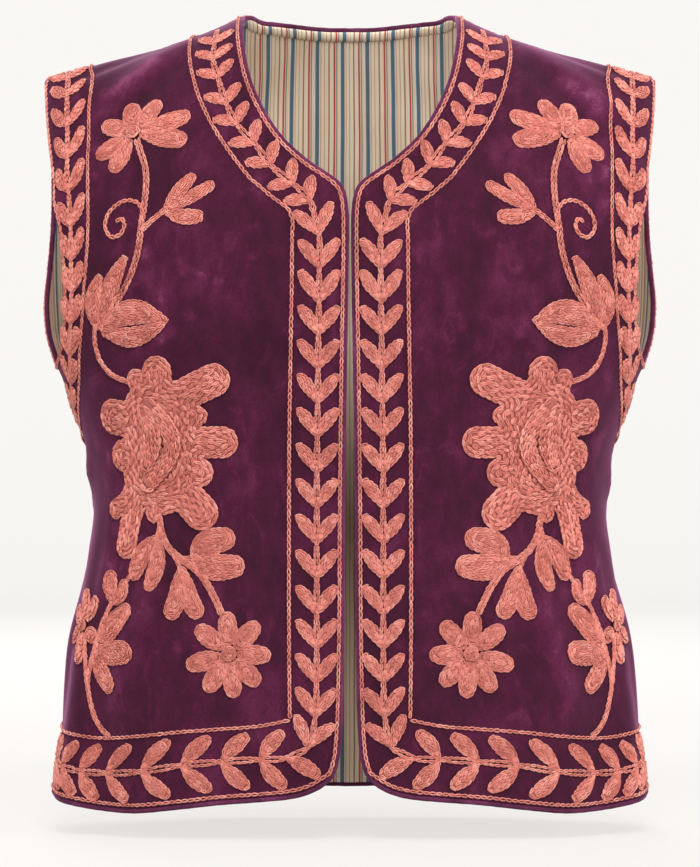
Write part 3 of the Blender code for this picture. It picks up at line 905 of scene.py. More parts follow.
FINE_STEP = 1.5  # between the places of a path that stitches follow
LOOP_STEPS = 8
LOOP_RADIUS = 2  # of the plain loop that every stitch is made from, against 1 for its yarn
YARN_SIDES = 3
HEADING_SHARE = 0.45  # a stitch's heading is read this share of its length to either side
OVERLAP = 0.61  # half a stitch's length, as a share of the step from one stitch to the next
UNEVEN = {"twist": 0.09, "length": 0.02, "width": 0.05, "height": 0.06}  # from stitch to stitch
TAPER = 0.24  # how much narrower a loop is where it starts, as a share of its width
RAISED_END = 0.45  # how much higher it is there, as a share of the yarn's radius
TONES = (0.02, 0.43)
LINE = {"stitch": 4.4, "width": 3.5, "yarn": 1.3, "height": 0.1}
# A spot is one stitch: around, up, heading_around, heading_up, length, width, yarn, height.


def coral_yarn(name, dark, middle, light):
    """Two-ply cotton embroidery yarn, spun soft and dyed coral. It is matt, with a faint halo, and
    each stitch takes the light a little differently. Its 0.3 mm fibres are drawn as 0.8 mm streaks."""
    made, tree, shader = finish(name)
    place = put(tree, "TexCoord").outputs["Object"]
    tone = put(tree, "Attribute", attribute_name="tone").outputs["Fac"]
    fibres = put(tree, "TexNoise", {"Vector": place, "Scale": 1250, "Detail": 2})
    patches = put(tree, "TexNoise", {"Vector": place, "Scale": 45, "Detail": 2})
    faded = added(tree, patches, 0.4, added(tree, fibres, 0.5, tone))
    colour = put(tree, "ValToRGB", {0: faded}, stops=[(0.25, dark), (0.7, middle), (1.0, light)])
    bump = put(tree, "Bump", {"Strength": 0.8, "Distance": 0.0003, "Height": fibres})
    put(tree, shader, {"Base Color": colour, "Roughness": 0.7, "Specular IOR Level": 0.3,
                       "Sheen Weight": 0.25, "Sheen Roughness": 0.5, "Sheen Tint": shade("#ffd9cf"),
                       "Normal": bump})
    return made


def plain_loop():
    """A ring of yarn, and for each of its vertices its turn round the loop, and its place in the yarn."""
    bm = bmesh.new()
    yarn = bmesh.ops.create_circle(bm, segments=YARN_SIDES, radius=1)
    bmesh.ops.rotate(bm, verts=yarn["verts"], matrix=Matrix.Rotation(np.pi / 2, 3, "X"))
    bmesh.ops.translate(bm, verts=yarn["verts"], vec=(LOOP_RADIUS, 0, 0))
    bmesh.ops.spin(bm, geom=bm.verts[:] + bm.edges[:], axis=(0, 0, 1), cent=(0, 0, 0), dvec=(0, 0, 0),
                   angle=2 * np.pi, steps=LOOP_STEPS, use_merge=True, use_duplicate=False)
    mesh = mesh_from("plain_loop", bm)
    points = np.array([vert.co for vert in mesh.vertices])
    turn = np.arctan2(points[:, 1], points[:, 0])
    return mesh, turn, np.hypot(points[:, 0], points[:, 1]) - LOOP_RADIUS, points[:, 2]


def copies(mesh, count):
    """A mesh of this many copies of a small shape, one after the other."""
    source = into_scene("copies", mesh)
    array = source.modifiers.new("copies", "ARRAY")
    array.count = count
    array.use_relative_offset = False
    return solid_of(source)


def stood_on_cloth(around, up, east, north, height):
    """Where each stitch's middle lies, and which way its length, its width and its top point."""
    middle = cloth(around, up, -height)
    near_top = np.minimum(up, TOP_UP - TANGENT_STEP)
    along, beside = (
        cloth(around + TANGENT_STEP * ahead, near_top + TANGENT_STEP * higher)
        - cloth(around - TANGENT_STEP * ahead, near_top - TANGENT_STEP * higher)
        for ahead, higher in ((east, north), (-north, east))
    )
    above = unit(np.cross(along, beside))
    along = unit(along)
    return middle, along, np.cross(above, along), above


def sew(name, spots, look, seed):
    """A piece made of chain stitches, one for each spot, each a little different from the next."""
    loop, turn, outward, rise = plain_loop()
    chance = np.random.default_rng(seed)
    count = len(spots)
    around, up, east, north, length, width, yarn, height = spots.T
    middle, along, beside, above = stood_on_cloth(around, up, east, north, height)
    twist = chance.normal(0, UNEVEN["twist"], count)[:, None]
    along, beside = along + beside * twist, beside - along * twist
    radius = (yarn / 2)[:, None]
    reach = OVERLAP + chance.normal(0, UNEVEN["length"], count)
    half_length = (length * reach)[:, None] - radius / 2
    half_width = (width / 2 * (1 + chance.normal(0, UNEVEN["width"], count)))[:, None] - radius
    lean = np.stack([half_width * np.cos(turn), half_length * np.sin(turn)])
    lean /= np.linalg.norm(lean, axis=0)
    x = half_length * np.cos(turn) + radius * outward * lean[0]
    y = half_width * np.sin(turn) * (1 - TAPER + TAPER * np.cos(turn)) + radius * outward * lean[1]
    z = radius * (1.0 - RAISED_END * np.cos(turn) + rise)
    points = middle[:, None] + x[..., None] * along[:, None] + y[..., None] * beside[:, None]
    points = points + (z + chance.normal(0, UNEVEN["height"], count)[:, None])[..., None] * above[:, None]
    mesh = copies(loop, count)
    mesh.vertices.foreach_set("co", (points * MM).ravel().astype(np.float32))
    give_values(mesh, "tone", np.repeat(chance.uniform(*TONES, count), len(turn)))
    return new_piece(name, mesh, look)


def through(points):
    """A smooth path through the points, as close places on the cloth."""
    points = np.asarray(points, float)
    run = run_along(points)
    return smooth_path(run, points, np.linspace(0, run[-1], max(2, round(run[-1] / FINE_STEP)) + 1))


def ahead_and_left(path):
    """The way that a path goes at each of its places, and the way to its left there."""
    ahead = unit(np.gradient(path, axis=0))
    return ahead, np.stack([-ahead[:, 1], ahead[:, 0]], axis=-1)


def beside(path, gap):
    """The path moved this far to its left, in the flat cloth."""
    return path + gap * ahead_and_left(path)[1]


def chain(path, row, lift=0.0, closed=False):
    """The spots of a row of chain stitch of the given kind, along a path on the cloth."""
    if closed:
        path = np.vstack([path, path[:1]])
    lengths = run_along(cloth(path[:, 0], path[:, 1]))
    count = max(1, round(lengths[-1] / row["stitch"]))
    each = lengths[-1] / count
    middles = (np.arange(count) + 0.5) * each
    places, ahead, behind = (read_along(path, lengths, middles + share * each)
                             for share in (0, HEADING_SHARE, -HEADING_SHARE))
    heading = ahead - behind
    heading /= np.linalg.norm(heading, axis=1, keepdims=True) + 1e-9
    size = np.broadcast_to((each, row["width"], row["yarn"], row["height"] + lift), (count, 4))
    return np.column_stack([places, heading, size])


EDGE_LINE = 3.8  # from the outer edge to the middle of the line that follows it
HEM_LINE = 5.6
ARMHOLE_LINE = 3.4
FRONT_INNER_LINE = [(116.6, TOP_UP), (117.8, 31), (118.5, 16), (118, 2), (116.3, -9), (113.1, -22),
                    (109.3, -35), (103.9, -48), (98.1, -60), (90.4, -73), (82.3, -85), (75.6, -94),
                    (68.2, -103), (61.2, -109), (54.1, -115), (47.1, -120), (41.6, -124.4),
                    (39.3, -129), (39.2, -140), (40, -205), (41, -263), (41.3, -320), (41.3, -378),
                    (41, -430), (40.6, -458)]
HEM_INNER_LINE = [(41, -459.6), (60.5, -463.5), (88, -466), (116.6, -468.5), (146.4, -472),
                  (171.5, -474), (191, -474.5), (217.6, -472.5), (243, -470), (262.2, -468.5)]
ARMHOLE_INNER_LINE = [(191.5, TOP_UP), (191.9, 28), (188.5, 4), (188, -19), (186.9, -38), (186.5, -63),
                      (185.3, -94), (184.8, -130), (186.5, -150), (188.5, -165), (191.9, -190),
                      (197.2, -211), (206.6, -237), (221.2, -258), (231, -267.5)]
BACK_NECK_INNER = [(0, -50), (26, -47.5), (52, -39), (76, -24), (95, -4), (107, 17), (115.5, TOP_UP)]
BACK_HEM_INNER = [(0, -479.5), (60, -478.5), (120, -475), (180, -471), (253, -468.5)]
BACK_ARMHOLE_INNER = [(191.5, TOP_UP), (193, 10), (194.5, -30), (196, -80), (199, -125), (200, -150),
                      (199, -175), (198, -195), (198.5, -215), (205, -237), (220, -258)]
UNDERARM_LINE_UP = -273.5  # where the inner line crosses the side seam
LINE_PARTS = 4  # how many steps a line takes for each step of the tables


def line_beside(which, sides, gap=EDGE_LINE):
    """The line that follows a bound side of a piece, this far in from its edge."""
    return edge_side(which, sides, LINE_PARTS, gap, HEM_LINE)


def front_lines():
    """The single rows of a left front."""
    down = line_beside(INNER_SIDE, FRONT)[::-1]
    along = line_beside(HEM_SIDE, FRONT)
    armhole = line_beside(OUTER_SIDE, FRONT, ARMHOLE_LINE)[LINE_PARTS * UNDERARM_ROW :]
    inner = [through(line) for line in (FRONT_INNER_LINE, HEM_INNER_LINE)]
    under_arm = through(ARMHOLE_INNER_LINE + [flat((SIDE, UNDERARM_LINE_UP))])
    return [np.vstack([down, along[1:]]), armhole, *inner, under_arm]


def back_lines():
    """The single rows of the back's left half."""
    hem = line_beside(HEM_SIDE, BACK)
    armhole = line_beside(OUTER_SIDE, BACK, ARMHOLE_LINE)[LINE_PARTS * UNDERARM_ROW :]
    neck = line_beside(TOP_SIDE, BACK)[: LINE_PARTS * NECK_CORNER + 1]
    inner = [from_back(through(line)) for line in (BACK_NECK_INNER, BACK_HEM_INNER)]
    at_seam = centre_back_at(UNDERARM_LINE_UP) - side_at(UNDERARM_LINE_UP), UNDERARM_LINE_UP
    return [hem, armhole, neck, *inner, from_back(through(BACK_ARMHOLE_INNER + [at_seam]))]


def sew_each(kind, front, back, seed):
    """A piece of stitches on each front, the right a mirror of the left, and one on both of the back's
    halves where it has any. Each takes the next seed."""
    sew(kind + "_front_left", front, coral, seed)
    sew(kind + "_front_right", mirrored(front, (0, 2)), coral, seed + 1)
    if back is not None:
        sew(kind + "_back", np.vstack([back, mirrored(back, (0, 2))]), coral, seed + 2)


coral = coral_yarn("coral_cotton_yarn", "#b45a50", "#e58a7d", "#f6aea0")
front_line_spots, back_line_spots = (
    np.vstack([chain(line, LINE) for line in lines]) for lines in (front_lines(), back_lines())
)
sew_each("border_lines", front_line_spots, back_line_spots, seed=1)

# The lining's neck facing is held down by a line of brown thread near its lower edge.
PAST_LINING = 0.75  # how much deeper inside than the lining the thread lies
TOPSTITCH = {"stitch": 2.8, "width": 1.0, "yarn": 0.55,
             "height": -(VELVET + CLEAR + COTTON + PAST_LINING)}
brown_thread = coral_yarn("brown_cotton_thread", "#4a2a22", "#7c4d3e", "#96644f")
sew("lining_topstitch", chain(neck_band(BAND_ROWS + 2)[-2], TOPSTITCH), brown_thread, seed=4)


# --- Leaf vines of the borders ------------------------------------------------------------
# Between its two lines each border carries a stem of two rows of chain stitch, with pairs of
# leaves. A leaf is sewn over a thin pad of yarn, with one row round it and others along its inside.

FILL = {"stitch": 4.3, "width": 3.05, "yarn": 1.28, "height": 0.05}
STEM_ROW = {"stitch": 4.2, "width": 2.95, "yarn": 1.25, "height": 0.3}
KNOT_SHARE = 0.45  # how near the two rows of a stem come at a knot, as a share of their usual gap
ROW_GAP = 2.3
PETAL_DISCS = 25
TIP_FALL = 1.7  # how late a petal narrows towards its tip
PAIR_LEAF = {"roundness": 0.66, "neck": 1.2}
PLACED_LEAF = {"roundness": 0.72, "neck": 1.2, "widest": 0.64}
PAIR_BEND = 0.9
TIP_STEPS = 8  # of the row round a leaf, where it turns at the tip
LEAST_ROUND_OUT = 0.4  # from a leaf's middle to the row round it
LEAST_ROW_OUT = 0.2  # from its middle to the outermost of the rows inside that
LEAF_START = 0.9  # from the stem's middle to where a leaf starts
SINK = 0.35  # how deep the rows press into the padding
LEAST_PLACE = 0.2  # places of a pad's mesh that lie nearer together than this become one
PAD_EDGE = 0.9  # how far in from its outline a filled shape's padding starts
PAD_FOOT = -0.2  # the padding's underside lies this far under the velvet's face
PAD_RIM = 0.3  # how high it stands at a shape's outline
PAD_SLOPE = 0.2  # how much higher for each mm further in
PAD_CROWN = 5.5  # it is level further in than this
PAD_GRID = 2.8


def dome(depth):
    """The height of the padding at this distance in from a shape's outline."""
    return PAD_RIM + PAD_SLOPE * np.minimum(depth, PAD_CROWN)


def petal(base, tip, width, bend=0.0, roundness=0.8, neck=1.5, widest=0.66):
    """A leaf or petal, as the discs (x, y, radius) that fill it. "bend" bows it to its left."""
    base, tip = np.asarray(base, float), np.asarray(tip, float)
    length = np.linalg.norm(tip - base)
    ahead = (tip - base) / length
    left = np.array([-ahead[1], ahead[0]])
    end_radius = roundness * width / 2
    share = np.linspace(0, 1, PETAL_DISCS)
    swell = np.sin(np.pi / 2 * np.clip(share / widest, 0, 1))
    past = np.clip((share - widest) / (1 - widest), 0, 1)
    radius = neck + (width / 2 - neck) * swell + (end_radius - width / 2) * past**TIP_FALL
    along = neck + share * (length - end_radius - neck)
    off = bend * np.sin(np.pi * share)
    return np.column_stack([base + np.outer(along, ahead) + np.outer(off, left), radius])


def shape_grid(discs, step):
    """A grid over a shape whose height is the distance in from the shape's outline."""
    low = (discs[:, :2] - discs[:, 2:]).min(axis=0) - step
    high = (discs[:, :2] + discs[:, 2:]).max(axis=0) + step
    columns, rows = np.ceil((high - low) / step).astype(int)
    bm = bmesh.new()
    bmesh.ops.create_grid(bm, x_segments=int(columns), y_segments=int(rows), size=0.5)
    places = np.array([vert.co[:2] for vert in bm.verts]) * (columns, rows) * step + (low + high) / 2
    for vert, place, depth in zip(bm.verts, places, depth_in(places, discs)):
        vert.co = (*place, depth)
    bmesh.ops.triangulate(bm, faces=bm.faces[:])
    return bm


def depth_in(places, discs):
    """How far in from the outline of a shape made of discs each place lies."""
    gap = np.linalg.norm(places[:, None] - discs[None, :, :2], axis=2)
    return (discs[None, :, 2] - gap).max(axis=1)


def cut_away(bm, depth):
    """Removes what lies less deep in the shape than this."""
    bmesh.ops.bisect_plane(bm, geom=bm.verts[:] + bm.edges[:] + bm.faces[:], dist=1e-5,
                           plane_co=(0, 0, depth), plane_no=(0, 0, 1), clear_inner=True)


def pad_shape(petals):
    """The padding under a filled shape: its closed mesh, and its places with their heights."""
    bm = shape_grid(np.vstack(petals), PAD_GRID)
    cut_away(bm, PAD_EDGE)
    bmesh.ops.dissolve_degenerate(bm, dist=LEAST_PLACE, edges=bm.edges[:])
    under = bm.verts[:]
    raised = bmesh.ops.extrude_face_region(bm, geom=bm.faces[:], use_keep_orig=True)["geom"]
    for part in raised:
        if isinstance(part, bmesh.types.BMVert):
            part.co.z = dome(part.co.z)
    for vert in under:
        vert.co.z = PAD_FOOT
    mesh = mesh_from("pad", bm)
    return mesh, np.array([vert.co for vert in mesh.vertices])


def directions_at(place):
    """The directions at one place on the cloth."""
    around, up = np.array([place[0]]), np.array([min(place[1], TOP_UP - TANGENT_STEP)])
    return [found[0] for found in directions(around, up)]


def placed(local, base, heading):
    """Places given in mm from a base and along a heading there, as places on the cloth."""
    across, upward, outward = directions_at(base)
    slopes = np.stack([across, upward])
    ahead = unit(heading[0] * across + heading[1] * upward)
    left = np.cross(outward, ahead)
    moved = np.linalg.pinv(slopes.T) @ (np.outer(ahead, local[:, 0]) + np.outer(left, local[:, 1]))
    return np.asarray(base, float) + moved.T


def leaf_pair(length, width, spread):
    """The two leaves of a pair, in mm from their base, along the stem."""
    angle = np.radians(spread)
    tips = [length * np.array([np.cos(angle), side * np.sin(angle)]) for side in (1, -1)]
    return [petal(LEAF_START * tip / length, tip, width, bend, **PAIR_LEAF)
            for tip, bend in zip(tips, (-PAIR_BEND, PAIR_BEND))]


def leaf_rows(leaf, gap=ROW_GAP):
    """The rows of a leaf, each as its depth in the leaf and its places: one that runs up a side, round
    the tip and down again, and others inside it, from the base to the tip."""
    middle, radius = leaf[:, :2], leaf[:, 2]
    ahead, left = ahead_and_left(middle)
    out = np.maximum(radius - gap / 2, LEAST_ROUND_OUT)[:, None]
    turn = np.linspace(0.5, -0.5, TIP_STEPS + 1)[1:-1, None] * np.pi
    tip = middle[-1] + out[-1] * (np.cos(turn) * ahead[-1] + np.sin(turn) * left[-1])
    found = [(gap / 2, np.vstack([middle + out * left, tip, (middle - out * left)[::-1]]))]
    inside = np.maximum(radius - gap, LEAST_ROW_OUT)[:, None]
    count = max(1, round(2 * inside.max() / gap))
    for share in (np.arange(count) + 0.5) / count * 2 - 1:
        depth = gap + inside.max() * (1 - abs(share))
        found.append((depth, (middle + share * inside * left)[2:]))
    return [(depth, even_points(path, FINE_STEP)) for depth, path in found]


def sewn_leaves(shapes):
    """The rows and the paddings of leaves, each given in mm from its base and along a heading."""
    rows, pads = [], []
    for leaf, base, heading in shapes:
        rows += [chain(placed(path, base, heading), FILL, dome(depth) - SINK)
                 for depth, path in leaf_rows(leaf)]
        mesh, places = pad_shape([leaf])
        pads.append((mesh, np.column_stack([placed(places[:, :2], base, heading), places[:, 2]])))
    return rows, pads


def leaf_between(start, tip, width, bend):
    """A leaf from one place on the cloth to another, with the base and heading that place it."""
    across, upward, _ = directions_at(start)
    heading = np.subtract(tip, start)
    length = np.linalg.norm(heading[0] * across + heading[1] * upward)
    return petal((0, 0), (length, 0), width, bend, **PLACED_LEAF), start, heading


def stem_rows(knots, gap):
    """The two rows of a stem, this far to either side of its middle. They draw together at each knot."""
    knots = np.asarray(knots, float)
    path = through(knots)
    run = run_along(knots)
    passed = np.interp(np.linspace(0, run[-1], len(path)), run, np.arange(len(knots)))
    apart = gap * (KNOT_SHARE + (1 - KNOT_SHARE) * np.abs(np.sin(np.pi * passed)))[:, None]
    return [chain(beside(path, side * apart), STEM_ROW) for side in (1, -1)]


def vine(knots, leaves, gap):
    """A stem through the knots, and its leaves: a pair of one size at each knot but the first and last,
    or a table's leaves, each from a knot to its tip."""
    knots = [flat(knot) for knot in knots]
    if isinstance(leaves, list):
        shapes = [leaf_between(knots[leaf.pop("knot")], **leaf) for leaf in rows_of(leaves, LEAF_COLUMNS)]
    else:
        shapes = [(leaf, base, np.subtract(after, base))
                  for base, after in zip(knots[1:-1], knots[2:]) for leaf in leaf_pair(*leaves)]
    rows, pads = sewn_leaves(shapes)
    return stem_rows(knots, gap) + rows, pads


def lay_pads(name, pads, look):
    """One piece made of the paddings, each laid on the cloth."""
    bm = bmesh.new()
    points = []
    for mesh, places in pads:
        bm.from_mesh(mesh)
        points.append(cloth(places[:, 0], places[:, 1], -places[:, 2]))
    for vert, point in zip(bm.verts, np.vstack(points) * MM):
        vert.co = point
    new_piece(name, mesh_from(name, bm), look)


def pad_each(kind, front, back, look):
    """The paddings of each front, and those of both of the back's halves where it has any."""
    turned_front, turned_back = (
        [(mesh, mirrored(places)) for mesh, places in pads] for pads in (front, back)
    )
    lay_pads(kind + "_front_left", front, look)
    lay_pads(kind + "_front_right", turned_front, look)
    if back:
        lay_pads(kind + "_back", back + turned_back, look)


# A vine's places run the way that it grows. Those of the back are counted from its centre.
FRONT_VINE = [(29, -479), (28.7, -478.5), (23.5, -458), (22.6, -435), (22.4, -412), (22.4, -389),
              (22.4, -365), (22.5, -341), (22.4, -317), (22.4, -293), (22.1, -269), (21.8, -246),
              (21.5, -223), (21.3, -200), (20.9, -178), (20.8, -157.5), (20.9, -139.5), (24.5, -127)]
NECK_VINE = [(24.5, -127), (26.5, -121.3), (37.7, -110.8), (53.6, -98), (65.2, -83), (78.2, -67.9),
             (86.8, -51.7), (94.2, -30.6), (99.2, -13.3), (99.6, 3), (98.5, 22)]
HEM_KNOTS = [(29, -479), (43.6, -485), (61.3, -486), (87.9, -488), (115.8, -491), (145.4, -496),
             (177.6, -498), (199.1, -498), (215.5, -496), (228.5, -493), (243, -492), (SIDE, -492)]
LEAF_COLUMNS = ("knot", "tip", "width", "bend")
HEM_LEAVES = [
    (1, (19.9, -497), 11.1, -0.8),
    (2, (45.2, -466.4), 11.3, -0.8),
    (2, (43.2, -505.6), 11.7, 0.8),
    (3, (68.9, -469), 11.5, -0.8),
    (3, (68.4, -506), 11.7, 0.8),
    (4, (95.3, -471), 11.7, -0.8),
    (4, (94.3, -508), 11.7, 0.8),
    (5, (123.8, -474), 11.3, -1.0),
    (5, (123.2, -512.6), 11.5, 1.0),
    (6, (153.6, -478.4), 11.1, -1.0),
    (6, (155.9, -516.4), 11.3, 1.0),
    (7, (183.0, -479), 11.3, -1.0),
    (7, (184.4, -517), 11.5, 1.0),
    (8, (201.0, -478), 10.9, -1.0),
    (8, (201.9, -515), 10.9, 1.0),
    (9, (218.5, -474.5), 10.7, -1.0),
    (9, (216.5, -512), 10.7, 1.0),
    (10, (232, -473.5), 10.7, -1.0),
    (10, (231, -510.5), 10.7, 1.0),
]
ARMHOLE_KNOTS = [(SIDE, -260), (238, -258.5), (225, -248), (216.7, -232), (208.6, -213), (203, -191),
                 (200.2, -170), (199.7, -146), (199.9, -121), (201.6, -94), (203.1, -67), (204.9, -39),
                 (206.7, -8), (207.8, 17), (208.5, 38)]
ARMHOLE_LEAVES = [
    (1, (242, -240), 9.6, -0.9),
    (1, (224.5, -250), 7.6, 0.6),
    (2, (229.5, -230), 9.6, -0.9),
    (2, (213.2, -234), 8.6, 0.9),
    (3, (219.9, -211), 10.0, -0.9),
    (3, (202.8, -215), 9.0, 0.9),
    (4, (212.3, -192), 10.0, -0.9),
    (4, (196.1, -193), 9.0, 0.9),
    (5, (209.0, -172), 9.8, -0.9),
    (5, (192.4, -171), 9.0, 0.9),
    (6, (207.0, -150), 9.8, -0.9),
    (6, (190.4, -147), 9.2, 0.9),
    (7, (208.9, -126), 10.0, -0.9),
    (7, (189.4, -122), 9.2, 0.9),
    (8, (211.0, -101), 10.2, -0.9),
    (8, (189.0, -96), 9.4, 0.9),
    (9, (214.0, -74), 10.2, -0.9),
    (9, (189.8, -69), 9.4, 0.9),
    (10, (216.8, -47), 10.4, -0.9),
    (10, (191.2, -42), 9.6, 0.9),
    (11, (220.4, -19), 10.4, -0.9),
    (11, (192.4, -17), 9.6, 0.9),
    (12, (221.0, 8), 10.2, -0.9),
    (12, (194.2, 9), 9.6, 0.9),
    (13, (221.5, 31), 9.6, -0.9),
    (13, (194.0, 34), 9.2, 0.9),
]
BACK_NECK_VINE = [(0, -30), (8, -29), (30, -25), (50, -17), (68, -5), (83, 9), (94, 26), (98, 38)]
BACK_HEM_VINE = [(256, -493), (225, -494), (197, -494.5), (169, -495.5), (141, -496.5), (113, -498),
                 (85, -499.5), (57, -501), (29, -502), (0, -502)]
BACK_ARMHOLE_VINE = [(SIDE, -260), (229, -247), (223.5, -225), (225, -201), (224, -176), (221.5, -151),
                     (218, -126), (216, -101), (214.5, -76), (213.5, -51), (212.5, -26), (211, -1),
                     (209, 22), (208, 38)]

# The length and width of a pair's leaves, and the angle in degrees from the stem to each.
NECK_LEAVES = (18.8, 9, 43)
FRONT_LEAVES = (24.5, 9.2, 33.5)
BACK_HEM_LEAVES = (26, 11.2, 40)
BACK_ARMHOLE_LEAVES = (22.5, 10.2, 28)
STEM_GAP = 1.2  # from a stem's middle to each of its two rows
HEM_STEM_GAP = 1.45


def joined(parts):
    """All the spots of the parts, and all their paddings."""
    return np.vstack([row for rows, _ in parts for row in rows]), [pad for _, pads in parts for pad in pads]


# The padding is the same coral yarn, painted darker: painted shade in the gaps between the rows sewn over
# it.
shaded_padding_yarn = coral_yarn("coral_padding_yarn_painted_shade", "#944841", "#bb6a61", "#ce7f73")
front_spots, front_pads = joined([
    vine(FRONT_VINE, FRONT_LEAVES, STEM_GAP),
    vine(NECK_VINE, NECK_LEAVES, STEM_GAP),
    vine(HEM_KNOTS, HEM_LEAVES, HEM_STEM_GAP),
    vine(ARMHOLE_KNOTS, ARMHOLE_LEAVES, STEM_GAP),
])
back_spots, back_pads = joined([
    vine(from_back(BACK_NECK_VINE), NECK_LEAVES, STEM_GAP),
    vine(from_back(BACK_HEM_VINE), BACK_HEM_LEAVES, HEM_STEM_GAP),
    vine(from_back(BACK_ARMHOLE_VINE), BACK_ARMHOLE_LEAVES, STEM_GAP),
])
sew_each("border_vines", front_spots, back_spots, seed=11)
pad_each("border_padding", front_pads, back_pads, shaded_padding_yarn)


# --- Flowers of the fronts ----------------------------------------------------------------
# One flowering branch climbs each front, the left a mirror of the right: stems of two rows, and petals
# and leaves filled with rounds of chain stitch. The flowers' hearts, and the crescent and kernel of the
# great flower, are sewn on top over thicker padding, the last two in rows along their length.

PETAL_COLUMNS = ("base", "tip", "width", "bend", "roundness", "neck", "widest")
ROPE = {"stitch": 4.9, "width": 3.1, "yarn": 1.5, "height": 0.1}
ROPE_GAP = 2.5
THICK_ROPE = {"stitch": 5.4, "width": 3.8, "yarn": 1.8, "height": 0.1}
THICK_ROPE_GAP = 2.7

# Each stem is the gap from its middle to each of its two rows, and its places.
STEMS = [
    (1.2, [(150, -62), (146.4, -72), (141.9, -86), (141.1, -100), (142.2, -114), (143.6, -124),
           (145, -138), (150.6, -157), (155.6, -167), (162.5, -177), (170.1, -187), (177.2, -194)]),
    (0.9, [(143.6, -128), (135, -121), (127, -115.5)]),
    (0.8, [(179.6, -191), (181.3, -199), (180.5, -209), (176.3, -219), (169.4, -225.5), (155, -231)]),
    (0.9, [(133.4, -330), (135.1, -337)]),
    (0.7, [(122, -349), (118.5, -355), (116.6, -360)]),
    (0.7, [(153, -361), (158, -364.5), (162, -371), (168, -378)]),
    (0.9, [(171, -378), (178.2, -389), (186, -402), (190.6, -414), (194.3, -427), (195.7, -439),
           (193, -450), (188.7, -461), (181.5, -469), (174.5, -473)]),
    (0.8, [(201, -404), (200.2, -412), (198.8, -423), (196.6, -438)]),
    (1.45, [(136.5, -318), (133.9, -324), (131.6, -334), (125.2, -345), (115.9, -352), (104.2, -360),
            (97.3, -369), (92.2, -378), (87.5, -388)]),
    (1.3, [(116, -352), (108.7, -351)]),
]
WIDE_STEM = 1.25  # a stem whose rows lie further than this from its middle has a row between them
MIDDLE_DROP = 0.3  # how much lower that row lies
TENDRIL_ROW = {"stitch": 4.2, "width": 4.1, "yarn": 1.8, "height": 0.0}
TENDRIL = [(143.3, -121), (143.4, -114), (147, -108.5), (153.9, -106), (163.2, -109), (169.6, -116.5),
           (169.9, -126), (165.1, -131), (159, -129.5), (156.1, -123.5), (158.4, -118.4), (162, -120.5)]

# Each shape is a list of petals that are sewn as one.
SHAPES = [
    [((128, -116), (107, -93.5), 10.5, -1, 0.8, 1.5)],
    [((128, -116.5), (93, -102), 9.2, 0, 0.85, 1.5)],
    [((128, -117), (100, -123), 11, 1, 0.9, 1.5)],
    [((178.8, -196), (175.5, -157), 13, -4.5, 0.5, 2, 0.5)],
    [((176.6, -194), (155, -144.5), 14.5, -2, 0.4, 2, 0.5)],
    [((176.5, -195), (124, -189.3), 17.5, -8.6, 0.22, 1.8, 0.5)],
    [((176.5, -196.8), (125, -190.8), 14.2, 6.3, 0.22, 1.8, 0.5)],
    [((109.5, -351.5), (79, -333.5), 19, -3, 0.85, 2, 0.55)],
    [((109.5, -352), (71.5, -357), 18.5, 2.5, 0.85, 2, 0.55)],
    [((116.5, -356), (124.5, -393), 15.5, -2.5, 0.85, 2.5, 0.55)],
    [((116.5, -356), (104, -392), 15.5, 2.5, 0.85, 2.5, 0.55)],
    [((134.5, -335), (156, -366), 15, 2.5, 0.8, 2)],
    [((134.5, -335), (140.5, -374), 13, -2.5, 0.7, 2)],
    [((171.5, -384), (176, -360), 12.5, -1.5, 0.9, 2.5)],
    [((171, -384), (160.5, -366), 10, 2, 0.9, 2.5)],
    [((191.5, -417), (156, -384), 17, -1, 0.75, 2, 0.6)],
    [((192, -417.5), (152, -415.5), 17.5, 0, 0.95, 2, 0.7)],
    [((192, -418), (170, -443), 15.5, 1, 0.85, 2, 0.65)],
]
GREAT_FLOWER = [
    ((132, -227), (134, -322), 62, 0, 1, 31),
    ((128, -246), (82.5, -225), 23, 0, 1, 11.5),
    ((133, -250), (134, -213), 22, 0, 1, 11),
    ((143, -246), (152, -222), 15, 0, 1, 7.5),
    ((148, -258), (183, -252.5), 25, 0, 1, 12.5),
    ((150, -278), (174.5, -283.5), 23, 0, 1, 11.5),
    ((150, -296), (178, -323), 15, -3, 1, 7.5),
    ((148, -300), (164, -352), 18.5, 2, 1, 9),
    ((137, -305), (139, -327), 13, 0, 1, 6.5),
    ((124, -298), (93.5, -328.5), 25, 0, 1, 12.5),
    ((122, -286), (94, -296), 21, 0, 1, 10.5),
    ((120, -272), (76, -272), 22, 0, 1, 10.5),
    ((120, -258), (97.5, -252.5), 14, 0, 1, 7),
]
GREAT_CRESCENT = [((140, -240), (141, -306), 12.5, -18.5, 0.85, 4.5, 0.5)]
GREAT_KERNEL = [((143, -247.5), (141, -292.5), 16.5, -4.5, 0.55, 3.6, 0.5)]
HEARTS = [
    [((152.5, -51.5), (152.5, -61.5), 10, 0, 1.0, 5)],
    [((82.5, -409.8), (82.5, -420.2), 10.4, 0, 1.0, 5.2)],
    [((202.5, -395), (202.5, -403), 8, 0, 1.0, 4)],
]
